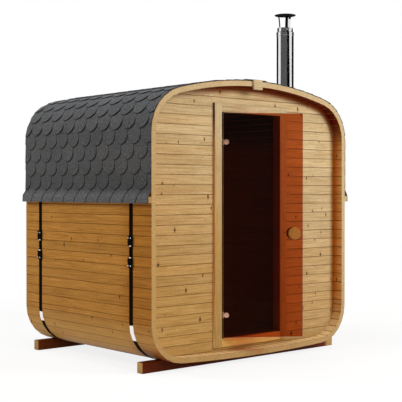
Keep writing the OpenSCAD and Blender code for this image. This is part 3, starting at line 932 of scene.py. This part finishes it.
def flat_tab(middle_y, tip_run, straight):
    """A shingle tab laid out flat: X is distance down the roof, Y is along it, Z is its lift.

    Layer "tab" holds its tone and how dark its cut rim is with painted shade, "lie" its distance from the rim
    that covers it, which places the painted shadow."""
    tab = bmesh.new()
    layer = tab.verts.layers.float_vector.new("tab")
    lie = tab.verts.layers.float_vector.new("lie")
    tone = draw.random()
    curl = draw.uniform(0.0, 0.0010)
    turn = EAVE_TAB_SLANT if straight else draw.uniform(-0.010, 0.010)
    pivot = EAVE_TAB_PIVOT if straight else 0.0
    rows, columns = (EAVE_TAB_ROWS, EAVE_TAB_COLUMNS) if straight else (len(TAB_ROWS) - 1, TAB_COLUMNS)
    bmesh.ops.create_grid(tab, x_segments=rows, y_segments=columns, size=0.5)
    top_run = tip_run - TAB_LENGTH
    cover_run = run_at(FIRST_TIP_Z) if straight else tip_run - TAB_EXPOSED
    for vert in tab.verts:
        down = vert.co.x + 0.5
        down = down if straight else TAB_ROWS[round(down * rows)]
        across = math.sin(vert.co.y * math.pi)
        reach = TAB_LENGTH if straight else TAB_LENGTH - TAB_ROUND * (1 - math.sqrt(max(0, 1 - across ** 2)))
        fall = down * reach
        lift = UNDERLAY_T + TAB_LIFT / TAB_EXPOSED * fall + curl * down ** 3
        is_rim = down > 0.999 and not straight
        is_side = across < (-0.94 if straight else -0.99)
        shade = SIDE_SHADE if is_side or (is_rim and across < -0.15) else TIP_SHADE if is_rim else 0.0
        sideways = TAB_HALF * across + turn * (fall - pivot)
        vert.co = (top_run + fall, middle_y + sideways, lift + TAB_T)
        vert[layer] = (tone, shade, 0)
        vert[lie] = (sideways, cover_run - top_run - fall, 0)
    for vert in thickened(tab, (0, 0, -TAB_T)):
        vert[layer] = (tone, 1.0 if vert[layer].y > 0 else UNDER_SHADE, 0)
    for y, outward in ((SHELL_FRONT + TAB_INSET, -1), (SHELL_BACK - TAB_INSET, 1)):
        trim(tab, Vector((0, y, 0)), Vector((0, outward, 0)))
    return tab


def tab_rows():
    """(tip distance, first middle, straight edge) of each row, from the eave up."""
    first = SHELL_FRONT + FIRST_TAB_EDGE - TAB_PITCH
    yield run_at(EAVE_Z - 0.001), first, True
    tip = run_at(FIRST_TIP_Z)
    shift = TAB_PITCH / 2
    while tip > 0.06:
        yield tip, first + shift, False
        tip -= TAB_EXPOSED
        shift = TAB_PITCH / 2 - shift


def underlay(side):
    """The felt sheet under the tabs, closed, from the ridge to the eave."""
    sheet = bmesh.new()
    layer = sheet.verts.layers.float_vector.new("tab")
    length = SHELL_BACK - SHELL_FRONT - 0.002
    bmesh.ops.create_grid(sheet, x_segments=64, y_segments=1, size=0.5)
    for vert in sheet.verts:
        vert.co = ((vert.co.x + 0.5) * run_at(EAVE_Z), SHELL_FRONT + 0.001 + (vert.co.y + 0.5) * length,
                   UNDERLAY_T)
        vert[layer] = (0.3, 0, 0)
    thickened(sheet, (0, 0, -UNDERLAY_T))
    return bent_over_roof(sheet, side)


def ridge_caps(side):
    """Half of each ridge shingle; they lie across the ridge and overlap from the back forwards.

    Their faces narrow towards the lower edge and the front rim, which are cut and dark with painted shade."""
    width, length, exposed = 0.125, 0.25, 0.155
    low = SHELL_FRONT + TAB_INSET
    caps = []
    while low < SHELL_BACK - 0.06:
        high = min(low + length, SHELL_BACK - TAB_INSET)
        cap = bmesh.new()
        layer = cap.verts.layers.float_vector.new("tab")
        tone = draw.random()
        bmesh.ops.create_grid(cap, x_segments=4, y_segments=4, size=0.5)
        for vert in cap.verts:
            run = (1 - (0.5 - vert.co.x) ** 2.5) * width
            back = (vert.co.y + 0.5) ** 2.5
            lift = 0.0080 + 0.0030 * (1 - back)
            vert.co = (run, low + back * (high - low), lift + RIDGE_CAP_T)
            vert[layer] = (tone, 0.8 if back < 0.01 or run > width - 0.001 else 0.0, 0)
        thickened(cap, (0, 0, -RIDGE_CAP_T))
        caps.append(bent_over_roof(cap, side))
        low += exposed
    return caps


def drilled(mesh, x, y, radius):
    """Cuts an upright round hole through a closed bmesh."""
    drill = bmesh.new()
    bmesh.ops.create_cone(
        drill, cap_ends=True, segments=48, radius1=radius, radius2=radius, depth=2.0, matrix=at(x, y, TOP_Z))
    tool = in_scene("drill", mesh_data("drill", drill))
    work = in_scene("work", mesh_data("work", mesh))
    cut = work.modifiers.new("hole", "BOOLEAN")
    cut.operation = "DIFFERENCE"
    cut.solver = "EXACT"
    cut.object = tool
    result = bmesh.new()
    evaluated = work.evaluated_get(bpy.context.evaluated_depsgraph_get())
    result.from_mesh(evaluated.to_mesh())
    evaluated.to_mesh_clear()
    for item in (tool, work):
        data = item.data
        bpy.data.objects.remove(item)
        bpy.data.meshes.remove(data)
    return result


def is_near_flue(mesh, reach):
    xs = [vert.co.x for vert in mesh.verts]
    ys = [vert.co.y for vert in mesh.verts]
    return min(xs) < FLUE_X + reach and max(xs) > FLUE_X - reach \
        and min(ys) < FLUE_Y + reach and max(ys) > FLUE_Y - reach


def make_shingles():
    count = math.ceil((SHELL_BACK - SHELL_FRONT) / TAB_PITCH) + 2
    hole_r = FLUE_R + SHINGLE_PLAY
    for name, side in (("left_shingles", -1), ("right_shingles", 1)):
        cover = bmesh.new()
        cover.verts.layers.float_vector.new("tab")
        cover.verts.layers.float_vector.new("lie")
        sheet = underlay(side)
        append(cover, drilled(sheet, FLUE_X, FLUE_Y, hole_r) if side > 0 else sheet)
        for tip, first, straight in tab_rows():
            for number in range(count):
                middle = first + TAB_PITCH * number
                if not SHELL_FRONT - 0.12 < middle < SHELL_BACK + 0.12:
                    continue
                tab = flat_tab(middle, tip, straight)
                if len(tab.verts) == 0:
                    tab.free()
                    continue
                tab = bent_over_roof(tab, side)
                if side > 0 and is_near_flue(tab, hole_r):
                    tab = drilled(tab, FLUE_X, FLUE_Y, hole_r)
                append(cover, tab)
        for cap in ridge_caps(side):
            append(cover, cap)
        make_piece(name + "_tabs", cover, "cabin", "shingles", [name], smooth_below=35)


# ---------------------------------------------------------------- door

HINGE_X, HINGE_Y, _ = frame["joints"][0]["pos_m"]
HINGE_HEIGHTS = [middle_of(name).z for name in ("upper_hinge_leaf", "lower_hinge_leaf")]
# From the shut door, whose hinge line is the origin, to the door as it stands ajar
ON_DOOR = at(HINGE_X, HINGE_Y, 0) @ Matrix.Rotation(-DOOR_OPEN, 4, "Z")
GLASS_T = 0.008
GLASS_GAP = 0.0055
GLASS_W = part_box("right_jamb")[0].x - GLASS_GAP - HINGE_X
NOTCH_W = 0.008
NOTCH_REACH = 0.028
# The knob's middle from the glass's free edge
KNOB_INSET = 0.081
KNOB_X = GLASS_W - KNOB_INSET
KNOB_Z = middle_of("outer_knob").z
KNOB_R = 0.052
KNOB_T = 0.032
NECK_LEN = 0.014
DISC_R = 0.022
DISC_T = 0.007
DISC_INSET = 0.004
# Half the door's knuckle, the whole of each of the leaf's two
KNUCKLE_REACH = 0.011
LEAF_KNUCKLE_H = 0.013
KNUCKLE_R = 0.005
PIN_R = 0.003
LEAF_T = 0.003


def make_glass():
    """The glass, notched round the hinges, with a polished rim."""
    low, high = (corner.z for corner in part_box("door_glass"))
    points = [(0, low)]
    for z in sorted(HINGE_HEIGHTS):
        foot, head = z - NOTCH_REACH, z + NOTCH_REACH
        points += [(0, foot), (NOTCH_W, foot), (NOTCH_W, head), (0, head)]
    points += [(0, high), (GLASS_W, high), (GLASS_W, low)]
    pane = prism([(x, -GLASS_T / 2, z) for x, z in points], (0, GLASS_T, 0))
    ease(pane, [edge for edge in pane.edges if edge.calc_length() > 1.5 * GLASS_T], 0.0012)
    for face in pane.faces:
        face.material_index = int(abs(face.normal.y) <= 0.9)
    make_piece("glass_pane", moved(pane, ON_DOOR), "door", "bronze_glass", ["door_glass"],
               ["bronze_glass", "glass_rim"])


def knob_profile():
    """(radius, height) of a turned knob from the glass out to its slightly dished face."""
    rim = 0.009
    face = NECK_LEN + KNOB_T
    back_rim = arc((KNOB_R - rim, NECK_LEN + rim), rim, math.pi, math.pi / 2, 6)
    front_rim = arc((KNOB_R - rim, face - rim), rim, math.pi / 2, 0, 6)
    groove = [(KNOB_R - 0.0125, face), (KNOB_R - 0.0140, face - 0.0012), (KNOB_R - 0.0155, face)]
    return [(0, 0), (0.017, 0), (0.0175, 0.004), (0.016, 0.008), (0.018, NECK_LEN - 0.001), *back_rim,
            *front_rim, *groove, (0.020, face - 0.0012), (0, face - 0.0018)]


def on_glass(x, z, side):
    """From what looks up to a place on the outer (-1) or inner (1) face of the glass."""
    return ON_DOOR @ at(x, side * GLASS_T / 2, z) @ Matrix.Rotation(math.radians(-90 * side), 4, "X")


def make_knobs():
    for name, side in (("outer_knob", -1), ("inner_knob", 1)):
        place = on_glass(KNOB_X, KNOB_Z, side)
        knob = Timber()
        outward = place.to_3x3() @ Vector((0, 0, 1))
        pith = place.translation + Vector((0, 0, 0.09))
        knob.add(moved(turned(knob_profile()), place), outward, (0, 0, 1), pith)
        knob.piece(name, "turned", "spruce_knob", body="door")
    bush = turned([(0, -0.004), (0.009, -0.004), (0.009, 0.004), (0, 0.004)], 24)
    moved(bush, ON_DOOR @ at(KNOB_X, 0, KNOB_Z) @ Matrix.Rotation(math.radians(90), 4, "X"))
    make_piece("knob_bush", bush, "door", "brass", ["knob_spindle"])


def screw_head(radius, height):
    """A round head, its foot at the origin, looking along +Z."""
    return turned([(0, 0), (radius, 0), (radius, height * 0.55), (radius * 0.86, height), (0, height)], 24)


def hinge_discs(z):
    """Discs that clamp the glass, with their screws, and the knuckle between them."""
    place = ON_DOOR @ at(0, 0, z)
    side = GLASS_T / 2 + DISC_T - 0.0005
    profile = [(0, 0), (DISC_R, 0), (DISC_R, DISC_T - 0.0018), (DISC_R - 0.0006, DISC_T - 0.0006),
               (DISC_R - 0.0018, DISC_T), (0.0085, DISC_T), (0.0080, DISC_T - 0.0008), (0, DISC_T - 0.0008)]
    parts = []
    for way in (-1, 1):
        on_disc = on_glass(DISC_INSET + DISC_R, z, way)
        parts += [moved(turned(profile), on_disc),
                  moved(screw_head(0.0068, 0.0010), on_disc @ at(0, 0, DISC_T - 0.0010))]
    web = block((0.0035, -side, -KNUCKLE_REACH), (NOTCH_W + 0.006, side, KNUCKLE_REACH), 0.001)
    knuckle = turned_ring(PIN_R + 0.00008, KNUCKLE_R, -KNUCKLE_REACH, KNUCKLE_REACH, 0.0005, 32)
    return [*parts, moved(web, place), moved(knuckle, place)]


def hinge_leaf(z, low, high):
    """The leaf on the jamb with its two knuckles, the pin and two screws."""
    jamb_low, jamb_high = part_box("left_jamb")
    front, inside = jamb_low.y, jamb_high.x
    parts = [block((inside, front + 0.002, low.z), (inside + LEAF_T, high.y, high.z), 0.0008)]
    for bottom in (low.z, high.z - LEAF_KNUCKLE_H):
        top = bottom + LEAF_KNUCKLE_H
        knuckle = turned_ring(PIN_R - 0.0001, KNUCKLE_R, bottom, top, 0.0005, 32)
        parts += [block((inside, HINGE_Y, bottom), (inside + LEAF_T, front + 0.004, top), 0.0008),
                  moved(knuckle, at(HINGE_X, HINGE_Y, 0))]
    height = high.z - low.z
    pin = turned([(0, 0), (PIN_R - 0.0002, 0), (PIN_R, 0.0005), (PIN_R, height - 0.0005),
                  (PIN_R - 0.0002, height), (0, height)], 24)
    parts.append(moved(pin, at(HINGE_X, HINGE_Y, low.z)))
    for up in (-0.015, 0.015):
        parts.append(moved(screw_head(0.004, 0.0012), at(inside + 0.0028, high.y - 0.016, z + up) @ FACING_X))
    return parts


def make_hinges():
    for name, z in zip(("upper_hinge", "lower_hinge"), HINGE_HEIGHTS):
        make_piece(name + "_discs", joined(hinge_discs(z)), "door", "brass", [name + "_clamp"])
        leaf = hinge_leaf(z, *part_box(name + "_leaf"))
        make_piece(name + "_plate", joined(leaf), "cabin", "brass", [name + "_leaf"])


# ---------------------------------------------------------------- straps

STRAP_T = 0.002
# A tensioner's blocks, and the gap that the rod spans between them
CLAMP_BLOCK = Vector((0.014, 0.056, 0.074))
CLAMP_GAP = 0.101
ROD_R = 0.0058
THREAD_ROOT_R = 0.84 * ROD_R
THREAD_PITCH = 0.0035
# Radius and height of the heads of the small bolts and of the nuts on the rod
BOLT_HEAD = (0.0068, 0.0048)
NUT = (0.0092, 0.0095)


def strap_route(top):
    """(x, z) points of the shell's outline from the right eave down, under the floor and up again."""
    half = [(HALF_W, top), wall_line(0)[-1], *lower_line(0)[1:], *bottom_line(0)[1:]]
    return half + mirror_line(half[-2::-1])


def make_straps():
    for name in ("front_strap", "rear_strap"):
        low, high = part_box(name)
        band = ribbon([(x, low.y, z) for x, z in strap_route(EAVE_Z - 0.001)], (0, high.y - low.y, 0))
        middle = Vector((0, 0, (UPPER_CZ + LOWER_CZ) / 2))
        inward = [face for face in band.faces if face.normal.dot(face.calc_center_median() - middle) < 0]
        bmesh.ops.reverse_faces(band, faces=inward)
        bmesh.ops.solidify(band, geom=band.faces[:], thickness=-STRAP_T)
        bmesh.ops.recalc_face_normals(band, faces=band.faces[:])
        ease(band, [edge for edge in band.edges if edge.calc_face_angle(0) > math.radians(60)], 0.0005)
        make_piece(name + "_band", band, "cabin", "strap_steel", [name])


def hex_head(radius, height):
    """A hexagon head with a chamfered top, its foot at the origin, looking along +Z."""
    head = bmesh.new()
    bmesh.ops.create_cone(
        head, cap_ends=True, segments=6, radius1=radius, radius2=radius, depth=height,
        matrix=at(0, 0, height / 2))
    ease(head, [e for e in head.edges if all(v.co.z > height * 0.9 for v in e.verts)], height * 0.2)
    return head


def threaded_rod(low, high):
    """A rod with rings for its thread, round Z."""
    profile = [(0, low)]
    for i in range(int((high - low) / THREAD_PITCH)):
        z = low + THREAD_PITCH * i
        profile += [(THREAD_ROOT_R, z), (ROD_R, z + THREAD_PITCH / 2)]
    return turned([*profile, (THREAD_ROOT_R, high), (0, high)], 12)


def tensioner(y, middle_z):
    """Two clamp blocks on the right wall with a rod between them; returns black and bright parts."""
    face = HALF_W + STRAP_T
    front = face + CLAMP_BLOCK.x
    half_w = CLAMP_BLOCK.y / 2
    black, bright = [], []
    for way in (-1, 1):
        near = middle_z + way * CLAMP_GAP / 2
        far = near + way * CLAMP_BLOCK.z
        low, high = sorted((near, far))
        lip_low, lip_high = sorted((far - way * 0.004, far + way * 0.010))
        black += [block((face, y - half_w, low), (front, y + half_w, high), 0.0022),
                  block((face - 0.0005, y - 0.022, lip_low), (face + 0.005, y + 0.022, lip_high), 0.0012)]
        for bolt_y in (y - 0.016, y + 0.016):
            on_block = at(front - 0.0005, bolt_y, far - way * 0.014) @ FACING_X
            bright.append(moved(hex_head(*BOLT_HEAD), on_block))
        nut_z = near if way < 0 else near + 0.001 - NUT[1]
        bright.append(moved(hex_head(*NUT), at(face + CLAMP_BLOCK.x / 2, y, nut_z)))
    rod = threaded_rod(middle_z - CLAMP_GAP / 2 - 0.02, middle_z + CLAMP_GAP / 2 + 0.02)
    black.append(moved(rod, at(face + CLAMP_BLOCK.x / 2, y, 0)))
    return black, bright


def make_tensioners():
    for name, side in (("left_tensioners", -1), ("right_tensioners", 1)):
        blocks, bolts = [], []
        for strap in ("front_strap", "rear_strap"):
            black, bright = tensioner(middle_of(strap).y, middle_of(name).z)
            blocks += black
            bolts += bright
        for kind, finish, parts, replaced in (
                ("blocks", "strap_steel", blocks, [name]), ("bolts", "zinc", bolts, [])):
            mesh = joined(parts)
            if side < 0:
                bmesh.ops.scale(mesh, vec=(-1, 1, 1), verts=mesh.verts)
                bmesh.ops.reverse_faces(mesh, faces=mesh.faces[:])
            make_piece(f"{name}_{kind}", mesh, "cabin", "strap_steel", replaced, [finish])


# ---------------------------------------------------------------- flue

BORE_R = 0.0575
# The flashing's thickness, and its height above the staves
FLASHING_T = 0.0022
FLASHING_LIFT = 0.0145


def flue_piece(name, parts, node, foot=0.0, is_black=None):
    """Joins parts made round Z and stands them on the flue's axis; the faces that is_black picks get the matt
    black finish.
    """
    mesh = joined(parts)
    finishes = ["stainless"]
    if is_black:
        finishes.append("soot_and_painted_shade")
        for face in mesh.faces:
            face.material_index = int(is_black(face.calc_center_median(), face.normal))
    moved(mesh, at(FLUE_X, FLUE_Y, foot))
    make_piece(name, mesh, "cabin", "stainless", [node], finishes)


def rivet(radius, degrees, ring_r, z):
    """A domed rivet head on a round wall."""
    head = turned([(0, 0), (radius, 0), (radius * 0.8, radius * 0.4), (0, radius * 0.55)], 12)
    return moved(head, Matrix.Rotation(math.radians(degrees), 4, "Z") @ at(ring_r, 0, z) @ FACING_X)


def bead(rise, width, z):
    """A bead on the flue's wall, from a height upwards."""
    return moved(turned_ring(FLUE_R - 0.001, FLUE_R + rise, 0, width, rise), at(0, 0, z))


def make_pipe():
    """The twin-wall pipe with a bead near its top."""
    height = FLUE_TOP - FLUE_LOW
    parts = [turned_ring(BORE_R, FLUE_R, 0, height), bead(0.0024, 0.007, height - 0.036)]
    flue_piece("flue_outer_pipe", parts, "flue_pipe", FLUE_LOW,
               lambda place, normal: math.hypot(place.x, place.y) < BORE_R + 0.002)


def make_clamp_band():
    """A band with a ridge along each edge and a row of rivets."""
    low, high = (corner.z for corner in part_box("flue_clamp_band"))
    height = high - low
    parts = [turned_ring(FLUE_R - 0.0005, FLUE_R + 0.0018, 0, height, 0.0008)]
    for z in (0.003, height - 0.006):
        parts.append(turned_ring(FLUE_R, FLUE_R + 0.0026, z, z + 0.003, 0.0009))
    for degrees in (200, 232, 262, 292):
        parts.append(rivet(0.0035, degrees, FLUE_R + 0.0012, height / 2))
    flue_piece("flue_clamp_ring", parts, "flue_clamp_band", low)


def make_cap_collar():
    """The collar on top of the pipe, riveted above and below the seam.

    Its bore, the bead and the rivets below the seam are black."""
    low, high = (corner.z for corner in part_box("cap_collar"))
    height = high - low
    seam = FLUE_TOP - low
    collar_r = radius_of("cap_collar")
    parts = [turned_ring(BORE_R, collar_r, 0, height, 0.0008),
             turned_ring(collar_r - 0.001, collar_r + 0.0012, height - 0.003, height, 0.0008),
             bead(0.0022, 0.006, seam - 0.006)]
    for degrees in (0, 120, 240):
        for ring_r, z in ((collar_r, 0.019), (FLUE_R, -0.010)):
            parts.append(rivet(0.0068, degrees, ring_r - 0.0005, seam + z))
    flue_piece("cap_collar_ring", parts, "cap_collar", low,
               lambda place, normal: not BORE_R + 0.001 < math.hypot(place.x, place.y) < FLUE_R)


def make_cap():
    """A shallow dome with a rolled lip and a button on top; only its crown is bright, the rest is black as
    painted shade and dark reflection.
    """
    low, high = (corner.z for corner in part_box("rain_cap"))
    radius = radius_of("rain_cap")
    rise = high - low - 0.003
    ball = (radius ** 2 + rise ** 2) / (2 * rise)
    spread = math.asin((radius - 0.004) / ball)
    outer = arc((0, rise - ball), ball, 0, spread, 12)
    inner = arc((0, rise - ball - 0.0022), ball, spread, 0, 12)
    inner[0] = (inner[0][0] - 0.001, inner[0][1])
    lip = [(radius - 0.001, 0.0015), (radius - 0.0005, 0.0), (radius - 0.002, -0.0022),
           (radius - 0.005, -0.0018)]
    button = [(0, rise - 0.001), (0.006, rise - 0.0005), (0.005, rise + 0.002), (0, rise + 0.0028)]
    flue_piece("cap_dome", [turned([*outer, *lip, *inner], 96), turned(button, 24)], "rain_cap", low,
               lambda place, normal: normal.z < 0.9)


def make_cap_legs():
    """Three bent strips that hold the cap, black as painted shade and dark reflection but for the foot of the
    front one.
    """
    foot_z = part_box("cap_legs")[0].z
    shoulder_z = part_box("cap_collar")[1].z
    cap_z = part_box("rain_cap")[0].z
    start = radius_of("cap_collar") + 0.0004
    waist, splay, width = -0.018, -0.007, 0.026
    path = [(0, foot_z), (0.0005, shoulder_z), (waist, shoulder_z + 0.006), (waist, shoulder_z + 0.016),
            ((waist + splay) / 2, cap_z - 0.040), (splay, cap_z - 0.012), (splay, cap_z + 0.006)]
    legs = []
    for degrees in (30, 150, 270):
        leg = ribbon([(start + out, -width / 2, z) for out, z in path], (0, width, 0))
        bmesh.ops.recalc_face_normals(leg, faces=leg.faces[:])
        bmesh.ops.solidify(leg, geom=leg.faces[:], thickness=0.0045)
        bmesh.ops.recalc_face_normals(leg, faces=leg.faces[:])
        legs.append(moved(leg, Matrix.Rotation(math.radians(degrees), 4, "Z")))
    flue_piece("cap_leg_strips", legs, "cap_legs", 0.0,
               lambda place, normal: place.y > 0 or place.z > cap_z - 0.041)


def roof_height(x):
    """Height of the shell's outer face over the right half."""
    if x < TOP_ARCH_R * math.sin(UPPER_ANGLE):
        return TOP_Z - TOP_ARCH_R + math.sqrt(TOP_ARCH_R ** 2 - x ** 2)
    return UPPER_CZ + math.sqrt(max(0.0, UPPER_CORNER_R ** 2 - (x - UPPER_CX) ** 2))


def make_flashing():
    """A sheet bent over the shingles with an upstand and a bead round the pipe."""
    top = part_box("flue_flashing")[1].z
    width = 2 * radius_of("flue_flashing")
    sheet = bmesh.new()
    bmesh.ops.create_grid(sheet, x_segments=12, y_segments=12, size=0.5)
    for vert in sheet.verts:
        x = vert.co.x * width
        vert.co = (x, vert.co.y * width, roof_height(FLUE_X + x) + FLASHING_LIFT)
    thickened(sheet, (0, 0, FLASHING_T))
    upstand = turned_ring(FLUE_R, FLUE_R + 0.0035, roof_height(FLUE_X + FLUE_R), top)
    rim = turned_ring(FLUE_R, FLUE_R + 0.0058, top - 0.007, top, 0.0025)
    flue_piece("flashing_sheet", [drilled(sheet, 0, 0, FLUE_R), upstand, rim], "flue_flashing")


def make_ceiling_collar():
    """A flat ring under the ceiling with a sleeve round the pipe and a skirt up to the staves."""
    low, high = (corner.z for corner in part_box("ceiling_collar"))
    radius = radius_of("ceiling_collar")
    parts = [turned_ring(FLUE_R, radius, low, low + 0.004),
             turned_ring(FLUE_R, FLUE_R + 0.004, low, high - 0.002),
             turned_ring(radius - 0.003, radius, low, roof_height(FLUE_X + radius) - BOARD_T, 0.0008)]
    flue_piece("ceiling_collar_ring", parts, "ceiling_collar")


# ---------------------------------------------------------------- studio

WARM_WHITE = (1.0, 0.985, 0.96)
VIEWPOINT = Vector((-5.8231, -6.1338, 1.438))
# The place that the lamps look at
AIM = Vector((0, 0.9, 1.2))
CARD_REACH = 7.0
CARD_H = 2.0


def looked_at(look):
    """1 where the eye sees a place, also in metal or through glass, and 0 where light only falls on it."""
    rays = look.add("ShaderNodeLightPath", output="Is Camera Ray").socket.node.outputs
    camera, glossy, transmission = (
        Channel(look, rays[kind]) for kind in ("Is Camera Ray", "Is Glossy Ray", "Is Transmission Ray"))
    return camera.at_least(glossy).at_least(transmission)


def on_stage(name, mesh):
    """Sets a thing of the studio, which is no part of the cabin."""
    data = mesh_data(name, mesh)
    data.materials.append(FINISHES[name])
    item = in_scene(name, data)
    return item


def make_world():
    """White to look at, and a dim even light on the cabin."""
    world = bpy.data.worlds.new("studio")
    bpy.context.scene.world = world
    sky = Finish("studio", world)
    level = 0.20 + 0.80 * looked_at(sky)
    light = sky.add("ShaderNodeBackground", sockets={"Color": (1, 1, 1), "Strength": level})
    sky.add("ShaderNodeOutputWorld", sockets={"Surface": light})


def make_floor():
    """A floor that looks white, whiter still far out, keeps a soft shadow and throws back little light."""
    paint = Finish("studio_floor")
    pale = paint.add("ShaderNodeBsdfDiffuse", sockets={"Color": (0.94, 0.94, 0.94)})
    dim = paint.add("ShaderNodeBsdfDiffuse", sockets={"Color": (0.78, 0.68, 0.56)})
    glow = paint.add("ShaderNodeEmission", sockets={"Color": (1, 1, 1), "Strength": 1.0})
    far_out = paint.step(paint.vector("LENGTH", paint.place(), output="Value"), 2.5, 7.0)
    shown = paint.add("ShaderNodeMixShader", sockets={0: 0.84 + 0.16 * far_out, 1: pale, 2: glow})
    paint.surface(paint.add("ShaderNodeMixShader", sockets={0: looked_at(paint), 1: dim, 2: shown}))
    sheet = bmesh.new()
    bmesh.ops.create_grid(sheet, x_segments=1, y_segments=1, size=40)
    on_stage("studio_floor", moved(sheet, at(0, 0, -0.0005)))


def make_lamps():
    """Broad soft lamps in front on the right and left, beyond the back corners, and above."""
    for name, place, size, energy in (
            ("key", (3.4, -6.2, 4.8), 3.6, 480), ("fill", (-3.5, -6.0, 2.6), 3.0, 100),
            ("left_back", (-5.5, 5.6, 5.0), 2.0, 300), ("right_back", (6.5, 4.5, 1.9), 2.0, 160),
            ("overhead", (-1.6, 0.4, 7.5), 2.6, 190)):
        lamp = bpy.data.lights.new(name, "AREA")
        lamp.shape = "DISK"
        lamp.size = size
        lamp.energy = energy
        lamp.color = WARM_WHITE
        holder = in_scene(name, lamp)
        holder.location = place
        holder.rotation_euler = (holder.location - AIM).to_track_quat("Z", "Y").to_euler()
        holder.visible_glossy = False


def make_cards():
    """Cards that only polished metal mirrors, in two bands round the flue.

    Each has the degrees from the viewpoint at which it starts and ends and at which its foot ends, then the
    height of its foot and its brightness."""
    to_viewpoint = math.atan2(VIEWPOINT.y - FLUE_Y, VIEWPOINT.x - FLUE_X)
    for number, (start, end, foot_end, bottom, brightness) in enumerate((
            (-180, -105, -105, 2.6, 0.0), (-64, 24, 26, 2.6, 0.10), (24, 52, 72, 2.6, 0.0),
            (100, 180, 180, 2.6, 0.0), (-160, -120, -120, 0.6, 0.05), (-100, -72, -72, 0.6, 0.20),
            (-52, -22, -22, 0.6, 0.05), (30, 66, 66, 0.6, 0.05), (112, 150, 150, 0.6, 0.12))):
        name = f"card_{number}"
        paper = Finish(name)
        paper.surface(paper.add("ShaderNodeEmission", sockets={"Color": (1, 1, 1), "Strength": brightness}))
        card = bmesh.new()
        bmesh.ops.create_grid(card, x_segments=24, y_segments=1, size=0.5)
        for vert in card.verts:
            up = vert.co.y + 0.5
            last = end * up + foot_end * (1 - up)
            turn = to_viewpoint + math.radians(start + (vert.co.x + 0.5) * (last - start))
            vert.co = (FLUE_X + CARD_REACH * math.cos(turn), FLUE_Y + CARD_REACH * math.sin(turn),
                       bottom + CARD_H * up)
        holder = on_stage(name, card)
        for ray in ("camera", "diffuse", "transmission", "shadow", "volume_scatter"):
            setattr(holder, "visible_" + ray, False)


def make_camera():
    view = bpy.data.cameras.new("viewpoint")
    view.lens = 87.88
    view.sensor_width = 36
    view.clip_end = 200
    camera = in_scene("viewpoint", view)
    camera.location = VIEWPOINT
    camera.rotation_euler = (math.radians(89.423), 0, math.radians(-41.075))
    bpy.context.scene.camera = camera
    bpy.context.scene.view_settings.view_transform = "Standard"


make_shell()
make_end_walls()
make_door_frame()
make_bearers()
make_roof_timber()
make_shingles()
make_glass()
make_knobs()
make_hinges()
make_straps()
make_tensioners()
make_pipe()
make_clamp_band()
make_cap_collar()
make_cap()
make_cap_legs()
make_flashing()
make_ceiling_collar()
make_world()
make_floor()
make_lamps()
make_cards()
make_camera()
